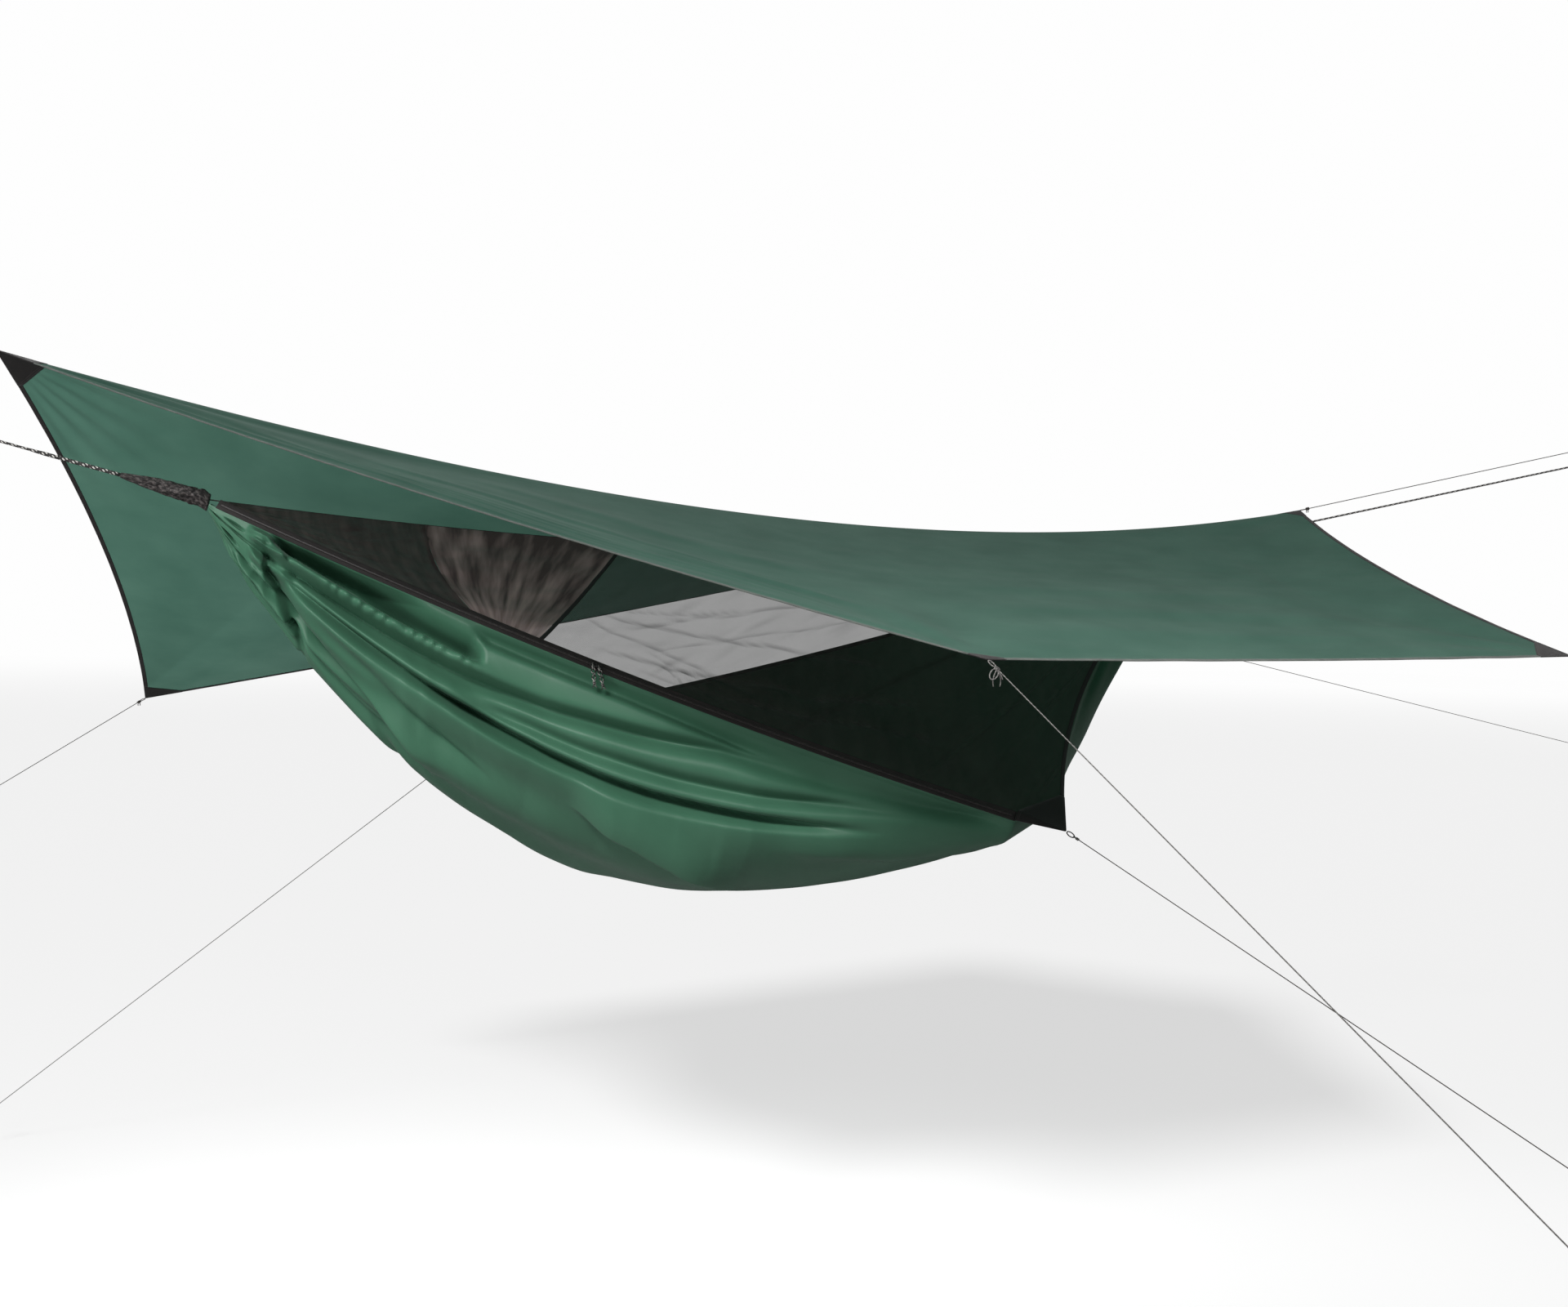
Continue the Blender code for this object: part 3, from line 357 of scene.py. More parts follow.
# Meshes
class Shape:
    """Points and faces of one piece, with a map that measures its surface in metres."""

    def __init__(self):
        self.points = []
        self.faces = []
        self.maps = []
        self.count = 0
        self.values = []

    def grid(self, rows, u, v, wrap=False, values=None):
        """A grid of points; u is metres along its rows, v metres across (one more value where it wraps)."""
        rows = np.asarray(rows, float)
        n, m = rows.shape[:2]
        index = self.count + np.arange(n * m).reshape(n, m)
        if wrap:
            index = np.concatenate([index, index[:, :1]], 1)
        u = np.asarray(u, float)
        v = np.asarray(v, float)
        if u.ndim == 1:
            u = np.repeat(u[:, None], index.shape[1], 1)
        if v.ndim == 1:
            v = np.repeat(v[None, :], n, 0)
        place = np.stack([u, v], -1)
        corners = [(slice(None, -1), slice(None, -1)), (slice(None, -1), slice(1, None)),
                   (slice(1, None), slice(1, None)), (slice(1, None), slice(None, -1))]
        self.faces.extend(np.stack([index[c] for c in corners], -1).reshape(-1, 4).tolist())
        self.maps.append(np.stack([place[c] for c in corners], 2).reshape(-1, 2))
        self.points.append(rows.reshape(-1, 3))
        self.values.append(np.zeros(n * m) if values is None else np.asarray(values, float).reshape(-1))
        self.count += n * m
        return index

    def cap(self, ring):
        self.faces.append(list(ring))
        self.maps.append(np.zeros((len(ring), 2)))

    def skin(self, rows, u, v):
        """A grid that closes round its rows, with a cap at either end."""
        index = self.grid(rows, u, v, wrap=True)
        self.cap(index[0, :-1][::-1])
        self.cap(index[-1, :-1])

    def tube(self, route, radii, sides=8, closed=False):
        """A round cord along a route, with v counting metres round it."""
        route = np.asarray(route, float)
        n = len(route)
        radii = np.broadcast_to(np.asarray(radii, float), (n,))
        ahead = np.roll(route, -1, 0) - np.roll(route, 1, 0) if closed else np.gradient(route, axis=0)
        ahead = units(ahead)
        first = vec(0, 0, 1)
        if abs(np.dot(first, ahead[0])) > 0.95:
            first = vec(0.3, 1, 0.2)
        angle = 2 * pi * (np.arange(sides) / sides)
        rows = []
        for i in range(n):
            first = square_to(ahead[i], first)
            second = np.cross(ahead[i], first)
            around = np.cos(angle)[:, None] * first + np.sin(angle)[:, None] * second
            rows.append(route[i] + radii[i] * around)
        if closed:
            rows.append(rows[0])
        rows = np.array(rows)
        v = 2 * pi * float(radii.max()) * np.arange(sides + 1) / sides
        if closed:
            self.grid(rows, distances(rows.mean(1)), v, wrap=True)
        else:
            self.skin(rows, distances(rows.mean(1)), v)

    def ring(self, points, cord_r, sides=8):
        self.tube(points, cord_r, sides, closed=True)

    def turned(self, start, direction, profile, sides):
        """A body of revolution; profile lists (distance along the axis, radius)."""
        least = 1e-6             # keeps two points of the axis apart
        route = [start + direction * max(along, least * i) for i, (along, _) in enumerate(profile)]
        self.tube(route, [radius for _, radius in profile], sides)


def piece(name, shape, material, body, node, closed=True):
    """Makes the shape into an object that rides on a body and stands for a CAD node."""
    points = np.concatenate(shape.points) - HOLD_POINT
    mesh = bpy.data.meshes.new(name)
    mesh.from_pydata(points.tolist(), [], shape.faces)
    layer = mesh.uv_layers.new(name="surface")
    layer.data.foreach_set("uv", np.concatenate(shape.maps).reshape(-1))
    values = np.concatenate(shape.values)
    if values.any():
        attribute = mesh.attributes.new("thickened", "FLOAT", "POINT")
        attribute.data.foreach_set("value", values)
    if closed:
        bm = bmesh.new()
        bm.from_mesh(mesh)
        bmesh.ops.recalc_face_normals(bm, faces=bm.faces)
        bm.to_mesh(mesh)
        bm.free()
    mesh.shade_smooth()
    mesh.materials.append(material)
    obj = bpy.data.objects.new(name, mesh)
    bpy.context.scene.collection.objects.link(obj)
    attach(obj, body)
    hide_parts(node)
    return obj


# Materials
BLACK = (0.0, 0.0, 0.0)
THREADS = 1 / 0.0009         # for a metre of cloth, drawn coarser than real ones
NET_STRANDS = 420
SLEEVE_STRANDS = 600
TAPE_RIBS = 900
STITCH_PITCH = 0.0030
STITCH_HALF_WIDTH = 0.00045
STITCH_GAP = 0.35            # share of the pitch between two stitches


def bands(per_metre):
    """Scale of a wave texture that has so many bands for a metre."""
    return per_metre * 2 * pi / 20


class Look:
    """A material's nodes, with short ways to add and join them."""

    def __init__(self, name):
        self.material = bpy.data.materials.new(name)
        self.material.use_nodes = True
        self.tree = self.material.node_tree
        self.shader = self.tree.nodes["Principled BSDF"]
        self.surface = self.tree.nodes["Material Output"].inputs["Surface"]

    def put(self, socket, value):
        if isinstance(value, bpy.types.NodeSocket):
            self.tree.links.new(value, socket)
        elif isinstance(value, tuple) and socket.type == "RGBA":
            socket.default_value = (*value, 1.0)
        else:
            socket.default_value = value

    def add(self, kind, settings=None, **inputs):
        node = self.tree.nodes.new(kind)
        for key, value in (settings or {}).items():
            setattr(node, key, value)
        for key, value in inputs.items():
            self.put(node.inputs[key.replace("_", " ")], value)
        return node

    def set(self, **inputs):
        for key, value in inputs.items():
            self.put(self.shader.inputs[key.replace("_", " ")], value)

    def pair(self, kind, socket_type, a, b, settings=None, **inputs):
        """A node that makes one of two colours or two shaders."""
        node = self.add(kind, settings, **inputs)
        for socket, value in zip([s for s in node.inputs if s.type == socket_type], (a, b)):
            self.put(socket, value)
        return [s for s in node.outputs if s.type == socket_type][0]

    def blend(self, share, a, b):
        return self.pair("ShaderNodeMix", "RGBA", a, b, {"data_type": "RGBA"}, Factor=share)

    def math(self, operation, a, b=0.0, c=0.0, clamp=False):
        node = self.add("ShaderNodeMath", {"operation": operation, "use_clamp": clamp})
        for socket, value in zip(node.inputs, (a, b, c)):
            self.put(socket, value)
        return node.outputs[0]

    def scaled(self, value, factor, offset):
        return self.math("MULTIPLY_ADD", value, factor, offset)

    def where(self, scale_u=1.0, scale_v=1.0, turn=0.0):
        """The surface's own map, scaled."""
        uv = self.add("ShaderNodeUVMap", {"uv_map": "surface"})
        mapping = self.add("ShaderNodeMapping", Vector=uv.outputs[0], Scale=(scale_u, scale_v, 1.0),
                           Rotation=(0, 0, turn))
        return mapping.outputs[0]

    def space(self, scale=1.0):
        """The object's own coordinates, for pieces without a map."""
        place = self.add("ShaderNodeTexCoord")
        return self.add("ShaderNodeMapping", Vector=place.outputs["Object"], Scale=(scale,) * 3).outputs[0]

    def parts(self, where):
        return self.add("ShaderNodeSeparateXYZ", Vector=where).outputs

    def noise(self, where, scale, detail=3.0, rough=0.5):
        return self.add("ShaderNodeTexNoise", Vector=where, Scale=scale, Detail=detail,
                        Roughness=rough).outputs["Fac"]

    def wave(self, where, per_metre, along):
        settings = {"bands_direction": along, "wave_profile": "SIN"}
        return self.add("ShaderNodeTexWave", settings, Vector=where, Scale=bands(per_metre)).outputs["Fac"]

    def crossed(self, where, per_metre, operation="MAXIMUM"):
        """Height of threads that run both ways."""
        return self.math(operation, self.wave(where, per_metre, "X"), self.wave(where, per_metre, "Y"))

    def ramp(self, value, *stops):
        node = self.add("ShaderNodeValToRGB", Fac=value)
        ramp = node.color_ramp
        while len(ramp.elements) < len(stops):
            ramp.elements.new(0.5)
        for element, (place, colour) in zip(ramp.elements, stops):
            element.position = place
            element.color = (*colour, 1.0)
        return node.outputs["Color"]

    def bump(self, height, strength, distance, **under):
        """A normal from a height; under may give the Normal that it is laid on."""
        return self.add("ShaderNodeBump", Height=height, Strength=strength, Distance=distance,
                        **under).outputs["Normal"]


def cloth_look(name, dark, base, light, roughness, glow):
    """Thin coated nylon: fine weave, soft mottling and a little light through it."""
    look = Look(name)
    fine = look.where()
    colour = look.ramp(look.noise(fine, 5.0, 4.0, 0.55), (0.30, dark), (0.52, base), (0.75, light))
    threads = look.crossed(fine, THREADS, "MULTIPLY")
    shade = look.scaled(threads, 0.10, 0.93)
    crinkle = look.bump(look.noise(fine, 28.0, 5.0, 0.6), 0.30, 0.0016)
    look.set(Base_Color=look.blend(look.math("SUBTRACT", 1.0, shade), colour, BLACK),
             Roughness=look.scaled(look.noise(fine, 14.0), 0.16, roughness - 0.08),
             Normal=look.bump(threads, 0.25, 0.00012, Normal=crinkle),
             Sheen_Weight=0.05, Sheen_Roughness=0.4, Specular_IOR_Level=0.35)
    through = look.add("ShaderNodeBsdfTranslucent", Color=colour)
    both = look.pair("ShaderNodeMixShader", "SHADER", look.shader.outputs[0], through.outputs[0], Fac=glow)
    look.put(look.surface, both)
    return look.material


def net_look(name, colour, light, cover, streak, fade=0.0):
    """Fine mesh that shows what is behind it, denser where it is folded."""
    look = Look(name)
    fine = look.where()
    density = look.add("ShaderNodeAttribute", {"attribute_name": "thickened"}).outputs["Fac"]
    strands = look.crossed(fine, NET_STRANDS)
    patchy = look.scaled(look.noise(look.where(1.0, 0.35), 9.0, 4.0), streak, cover - streak / 2)
    meshed = look.scaled(look.math("SUBTRACT", strands, 0.8), 0.15, patchy)
    streaks = look.noise(look.where(24.0, 4.0, 0.45), 1.6, 3.0, 0.45)
    # fade makes the colour steadily lighter towards the foot of the panel and darker near its ridge
    if fade:
        streaks = look.scaled(look.parts(fine)["Y"], fade, streaks)
    look.set(Alpha=look.math("ADD", meshed, density, clamp=True),
             Base_Color=look.ramp(streaks, (0.35, colour), (0.75, light)),
             Normal=look.bump(strands, 0.2, 0.0002), Roughness=0.75, Sheen_Weight=0.15)
    return look.material


def tape_look(name, colour, light, stitch, rows=(0.0022,)):
    """Woven tape with rows of stitches at the given distances from its middle."""
    look = Look(name)
    fine = look.where()
    worn = look.noise(fine, 30.0, 4.0, 0.6)
    shade = look.ramp(worn, (0.35, colour), (0.80, light))
    height = look.math("MULTIPLY", look.wave(look.where(1.0, 0.35, 0.6), TAPE_RIBS, "X"), 0.5)
    split = look.parts(fine)
    side = look.math("ABSOLUTE", split["Y"])
    step = look.math("FRACT", look.math("DIVIDE", split["X"], STITCH_PITCH))
    dash = look.math("GREATER_THAN", step, STITCH_GAP)
    thread_height = look.scaled(dash, 2.4, -1.2)
    for row in rows:
        from_row = look.math("ABSOLUTE", look.math("SUBTRACT", side, row))
        near = look.math("LESS_THAN", from_row, STITCH_HALF_WIDTH)
        shade = look.blend(look.math("MULTIPLY", near, dash), shade, stitch)
        height = look.math("ADD", height, look.math("MULTIPLY", near, thread_height))
    look.set(Base_Color=shade, Roughness=look.scaled(worn, 0.25, 0.60),
             Normal=look.bump(height, 0.6, 0.0003), Sheen_Weight=0.1)
    return look.material


def braid_look(name, dark, light, share, pitch, radius):
    """Braided cord: slanting strands both ways, some of them light."""
    look = Look(name)
    around = 2 * pi * radius
    split = look.parts(look.where(1 / pitch, 3 / around))
    up = look.math("ADD", split["X"], split["Y"])
    down = look.math("SUBTRACT", split["X"], split["Y"])
    over = look.math("SINE", look.math("MULTIPLY", up, 2 * pi))
    under = look.math("SINE", look.math("MULTIPLY", down, 2 * pi))
    cell = look.math("FRACT", look.math("MULTIPLY", look.math("FLOOR", up), 0.5))
    every_other = look.math("GREATER_THAN", cell, 0.25)
    tracer = look.math("MULTIPLY", every_other, look.math("GREATER_THAN", under, share))
    worn = look.noise(look.where(), 300.0, 3.0)
    rubbed = tuple(1.7 * c for c in dark)
    look.set(Base_Color=look.blend(tracer, look.ramp(worn, (0.3, dark), (0.8, rubbed)), light),
             Normal=look.bump(look.math("MAXIMUM", over, under), 0.7, 0.0004), Roughness=0.6)
    return look.material


def crinkle_look(name, dark, light):
    """Bunched mesh cloth: dark, with painted highlights on the high ridges of its folds."""
    look = Look(name)
    folds = look.noise(look.where(1.0, 1.6), 90.0, 6.0, 0.75)
    strands = look.crossed(look.where(), SLEEVE_STRANDS)
    # painted highlight: the colour goes from dark to light where the folds' bump is high
    shade = look.ramp(folds, (0.46, dark), (0.68, light))
    look.set(Base_Color=look.blend(look.math("MULTIPLY", strands, 0.25), shade, BLACK),
             Normal=look.bump(strands, 0.3, 0.0003, Normal=look.bump(folds, 0.8, 0.003)),
             Roughness=look.scaled(folds, -0.3, 0.75))
    return look.material


def metal_look(name, colour, worn, metallic, roughness):
    """Painted or brushed metal, lighter where it is rubbed."""
    look = Look(name)
    brush = look.noise(look.space(900.0), 1.0, 2.0)
    look.set(Base_Color=look.ramp(look.noise(look.space(), 260.0, 4.0, 0.6), (0.50, colour), (0.72, worn)),
             Roughness=look.scaled(brush, 0.2, roughness - 0.1), Normal=look.bump(brush, 0.15, 0.0001),
             Metallic=metallic)
    return look.material


tarp_cloth = cloth_look("tarp_cloth", (0.045, 0.116, 0.085), (0.055, 0.133, 0.099), (0.066, 0.151, 0.113),
                        0.46, 0.38)
body_cloth = cloth_look("body_cloth", (0.048, 0.142, 0.086), (0.056, 0.160, 0.098), (0.068, 0.184, 0.115),
                        0.46, 0.07)
fine_net = net_look("fine_net", (0.050, 0.041, 0.039), (0.080, 0.068, 0.064), 0.47, 0.06)
head_net_mesh = net_look("head_net_mesh", (0.038, 0.022, 0.022), (0.110, 0.072, 0.070), 0.88, 0.10)
brown_net = net_look("brown_net", (0.085, 0.047, 0.049), (0.520, 0.370, 0.360), 0.95, 0.04, 0.60)
black_tape = tape_look("black_tape", (0.010, 0.008, 0.008), (0.026, 0.022, 0.022), (0.050, 0.042, 0.040))
zip_tape = tape_look("zip_tape", (0.010, 0.008, 0.008), (0.026, 0.021, 0.021), (0.045, 0.038, 0.036),
                     rows=(0.0055, 0.0095))
light_tape = tape_look("light_tape", (0.050, 0.062, 0.054), (0.095, 0.105, 0.094), (0.030, 0.032, 0.028))
seam_tape = tape_look("seam_tape", (0.012, 0.010, 0.010), (0.024, 0.020, 0.020), (0.040, 0.035, 0.035))
patch_cloth = tape_look("patch_cloth", (0.007, 0.006, 0.006), (0.021, 0.018, 0.017), (0.050, 0.043, 0.040),
                        rows=(0.004, 0.008))
# the second colour is the painted highlight on the sleeves' ridges
sleeve_mesh = crinkle_look("sleeve_mesh", (0.010, 0.008, 0.008), (0.190, 0.165, 0.160))
rope_braid = braid_look("rope_braid", (0.024, 0.022, 0.022), (0.62, 0.60, 0.57), 0.35, 0.011, SPLICE_R)
guy_braid = braid_look("guy_braid", (0.090, 0.086, 0.082), (0.36, 0.35, 0.33), 0.40, 0.005, GUY_R)
dark_braid = braid_look("dark_braid", (0.026, 0.023, 0.021), (0.110, 0.095, 0.080), 0.50, 0.005, GUY_R)
pull_braid = braid_look("pull_braid", (0.020, 0.017, 0.017), (0.66, 0.63, 0.60), 0.20, 0.012, 0.0015)
slider_metal = metal_look("slider_metal", (0.020, 0.019, 0.019), (0.200, 0.190, 0.180), 0.6, 0.42)
clip_metal = metal_look("clip_metal", (0.62, 0.62, 0.62), (0.75, 0.75, 0.75), 1.0, 0.35)


# Cords: ropes and guylines, with the knotted loops they end in
ROUTE_SPANS = 18
COIL_STEPS = 14              # points for each wrap
KNOT_WRAPS = 3
LEAST_TAIL = 0.012
CLIP_LONG, CLIP_WIDE, CLIP_R = 0.009, 0.006, 0.0014


def across_of(direction):
    """Two unit vectors square to a direction, the first one as upright as it can be."""
    first = square_to(direction, vec(0, 0, 1) if abs(direction[2]) < 0.98 else vec(0, 1, 0))
    return first, np.cross(direction, first)


def coil(start, direction, length, radius, cord_r, wraps):
    """Wraps of a cord round a line."""
    first, second = across_of(direction)
    steps = COIL_STEPS * wraps
    route = []
    for i in range(steps + 1):
        angle = 2 * pi * wraps * i / steps
        inward = 0.75 if i in (0, steps) else 1.0
        middle = start + direction * mix(cord_r, length - cord_r, i / steps)
        route.append(middle + (radius - cord_r) * inward * (cos(angle) * first + sin(angle) * second))
    return route


def add_wraps(shape, start, direction, length, radius, cord_r):
    """A knot that wraps a straight cord."""
    shape.tube([start, start + direction * length], cord_r)
    shape.tube(coil(start, direction, length, radius, cord_r, KNOT_WRAPS), cord_r)


def end_loop(name, start, direction, cord_r, material, body, knot_l=END_KNOT_L, knot_r=END_KNOT_R,
             loop_r=GUY_LOOP_R):
    """A whipped knot that starts at start, a loop beyond it and the cord's short tail."""
    shape = Shape()
    wrap_r = min(cord_r, knot_l / 8)
    shape.tube([start, start + direction * knot_l], cord_r * 1.05, 10)
    wraps = max(2, int(knot_l / (2.1 * wrap_r)))
    shape.tube(coil(start, direction, knot_l, knot_r, wrap_r, wraps), wrap_r)
    first, second = across_of(direction)
    centre = start + direction * (knot_l + loop_r - cord_r)
    points = []
    for angle in np.linspace(0, 2 * pi, 41)[:-1]:
        narrow = 1 - 0.28 * rise(-cos(angle), 0.2, 1.0)
        points.append(centre + (loop_r - cord_r) * (cos(angle) * direction + narrow * sin(angle) * first))
    shape.ring(points, cord_r, 10)
    tail_start = start + direction * knot_l * 0.8 + second * knot_r * 0.7
    hang = (second * 0.5 + DOWN) * knot_l * 0.6
    tail = [tail_start + direction * knot_l * 0.5 * s + hang * s * s for s in np.linspace(0, 1, 8)]
    shape.tube(tail, cord_r * 0.9)
    return piece(name + "_loop", shape, material, body, name)


def rope(node, start, stop, radius, material, body, taper=None, sides=8):
    """A taut cord between two points; a taper lists (distance, radius)."""
    route = np.array([mix(start, stop, i / ROUTE_SPANS) for i in range(ROUTE_SPANS + 1)])
    length = float(np.linalg.norm(stop - start))
    radii = np.interp(np.linspace(0, length, len(route)), *zip(*taper)) if taper else radius
    shape = Shape()
    shape.tube(route, radii, sides)
    obj = piece(node + "_braid", shape, material, body, node)


def suspension(side, end, knot, direction, radius):
    """Rope from the sleeve to the anchor knot, doubled over its first stretch."""
    start = end + direction * (SLEEVE_L + GAP)
    stop = knot - direction * GAP
    loop = end_loop(side + "_anchor_loop", knot, direction, SUSPENSION_R, rope_braid, "tarp", KNOT_L,
                    KNOT_R, ANCHOR_LOOP_R)
    taper = [(0, SPLICE_R), (SPLICE_L - SPLICE_TAPER, SPLICE_R), (SPLICE_L, SUSPENSION_R),
             (float(np.linalg.norm(stop - start)), SUSPENSION_R)]
    rope(side + "_suspension_rope", start, stop, radius, rope_braid, "hammock", taper, 12)


suspension("left", LEFT_END, LEFT_KNOT, LEFT_ROPE, SPLICE_R)
suspension("right", RIGHT_END, RIGHT_KNOT, RIGHT_ROPE, SUSPENSION_R)


def guyline(node, start, direction, length, body="tarp", radius=GUY_R, material=guy_braid):
    begin = start + direction * GAP
    stop = begin + direction * length
    loop = end_loop(node + "_end", stop + direction * GAP, direction, radius, material, body)
    rope(node, begin, stop, radius, material, body)


def tip_knot(node, tip, direction, knot_length, knot_r, cord_r=GUY_R, material=dark_braid,
             bow=0.0):
    """A loop of cord at a corner of the tarp and its knot; gives the place where the line leaves it."""
    first, second = across_of(direction)
    centre = tip + direction * (TIP_CLEAR + cord_r + TIE_LONG)
    knot_start = centre + direction * (TIE_LONG - 0.5 * cord_r)
    middle = knot_start + direction * knot_length * 0.5
    reach = max(bow * 1.3, LEAST_TAIL)
    shape = Shape()
    shape.ring(oval(centre, TIE_LONG * direction, TIE_WIDE * second, 32), cord_r)
    add_wraps(shape, knot_start, direction, knot_length, knot_r, cord_r)
    for side in (-1, 1):
        if bow:
            hang = unit(DOWN * 0.9 + second * side * 0.8)
            spread = unit(np.cross(hang, first)) * side
            shape.ring(oval(middle + hang * bow * 0.5, -hang * bow * 0.5, spread * bow * 0.28, 28), cord_r)
        tail = [middle + DOWN * reach * s + second * side * reach * 0.35 * sin(2.2 * s)
                for s in np.linspace(0, 1, 9)]
        shape.tube(tail, cord_r * 0.95)
    piece(node + "_cord", shape, material, "tarp", node)
    return knot_start + direction * knot_length


tip_knot("tarp_left_loop", TARP_L, unit(vec(-1, 0, 0.22)), 0.012, 0.0040)
for corner, tip, direction, length, material in (
    ("far_left", TARP_FL, FL_GUY, FAR_LEFT_L, dark_braid),
    ("far_right", TARP_F2, F2_GUY, FAR_RIGHT_L, guy_braid),
):
    start = tip_knot("tarp_" + corner + "_loop", tip, direction, 0.014, 0.0042)
    guyline("tarp_" + corner + "_guyline", start, direction, length, material=material)
start = tip_knot("tarp_near_loop", TARP_NM, NM_GUY, 0.012, 0.0042, material=guy_braid,
                 bow=0.026)
guyline("tarp_near_guyline", start, NM_GUY, NEAR_MIDDLE_L)
start = tip_knot("tarp_right_loop", TARP_R, RIDGE_OUT, 0.016, 0.0050, RIDGE_CORD_R)
ridge_reach = np.linalg.norm(RIDGE_LOOP_CENTRE - start) - (END_KNOT_L + GUY_LOOP_R - RIDGE_CORD_R + 2 * GAP)
guyline("tarp_ridge_cord", start, RIDGE_OUT, ridge_reach, radius=RIDGE_CORD_R)


def tie_lift(arc_a, arc_b):
    """How far a tie-out patch is lifted off the tapes that it covers."""
    plane = unit(np.cross(arc_a.along, arc_b.along))
    return plane * np.sign(plane[2]) * ((TAPE_T + PATCH_T) / 2 + SEAM_GAP)


def tieout(prefix, patch_tip, direction, length, material):
    """Elastic loop, hitch, guyline and end loop of one side."""
    upright, second = across_of(direction)
    centre = patch_tip + direction * (LOOP_LONG + LOOP_R + TIP_CLEAR)
    elastic = Shape()
    elastic.ring(oval(centre, LOOP_LONG * direction, LOOP_WIDE * upright, 36), LOOP_R, 10)
    piece(prefix + "_elastic_ring", elastic, seam_tape, "hammock", prefix + "_elastic_loop")
    pivot = centre + direction * LOOP_LONG
    knot_start = pivot + direction * (HITCH_R + HITCH_CORD_R * 0.5)
    line = prefix + "_guyline"
    hitch = Shape()
    hitch.ring(oval(pivot + direction * 0.0006, HITCH_R * direction, HITCH_R * second, 20), HITCH_CORD_R)
    add_wraps(hitch, knot_start, direction, GUY_KNOT_L, GUY_KNOT_R, GUY_R)
    piece(line + "_knot", hitch, guy_braid, line, line + "_hitch")
    guyline(line, knot_start + direction * GUY_KNOT_L, direction, length, line, material=material)


near_lift = tie_lift(near_long, near_short)
far_lift = tie_lift(far_short, far_long)
tieout("near", NEAR_TIE + near_lift, NEAR_GUY, NEAR_GUY_L, dark_braid)
tieout("far", FAR_TIE + far_lift, FAR_GUY, FAR_GUY_L, guy_braid)


def metal_clip():
    """The clip at the near right corner of the tarp: a ring and a turned stud."""
    direction = unit(TARP_NR - TARP_NM)
    second = across_of(direction)[1]
    centre = TARP_NR + direction * (TIP_CLEAR + CLIP_R + CLIP_LONG)
    shape = Shape()
    shape.ring(oval(centre, CLIP_LONG * direction, CLIP_WIDE * second, 32), CLIP_R, 10)
    stud = [(0, 0.0018), (0.0006, 0.0034), (0.0016, 0.0042), (0.0040, 0.0045), (0.0050, 0.0036),
            (0.0060, 0.0036), (0.0070, 0.0044), (0.0088, 0.0040), (0.0097, 0.0030), (0.0100, 0.0012)]
    shape.turned(centre + direction * (CLIP_LONG - CLIP_R / 2), direction, stud, 20)
    piece("near_right_clip", shape, clip_metal, "tarp", "tarp_near_right_clip")


metal_clip()


# Hammock body: a sheet with the folds that spread from its gathered ends
TIE_LEAN = radians(-6)
LEAN_REACH = 0.7


def body_lean(x, inner_x):
    """Outward lean of the body below a hem, least beside the tie-out at inner_x."""
    return mix(TIE_LEAN, TAPE_LEAN, min(1.0, abs(x - inner_x) / LEAN_REACH))


def main_folds(x, t):
    """The CAD body's own folds, which spread from both gathered ends and fade towards the middle."""
    reach = 0.0
    for end, shift in ((-HALF_SPAN, 0.0), (HALF_SPAN, 0.4)):
        distance = abs(x - end)
        swell = min(1.0, distance / 0.30) ** 0.8
        fade = 1 / (1 + (distance / 0.75) ** 3)
        reach = reach + FOLD_DEPTH * swell * fade * np.cos(2 * pi * (FOLDS * t + shift * (1 - t)))
    return reach * np.minimum(1.0, np.minimum(6 * t, 6 * (1 - t)))


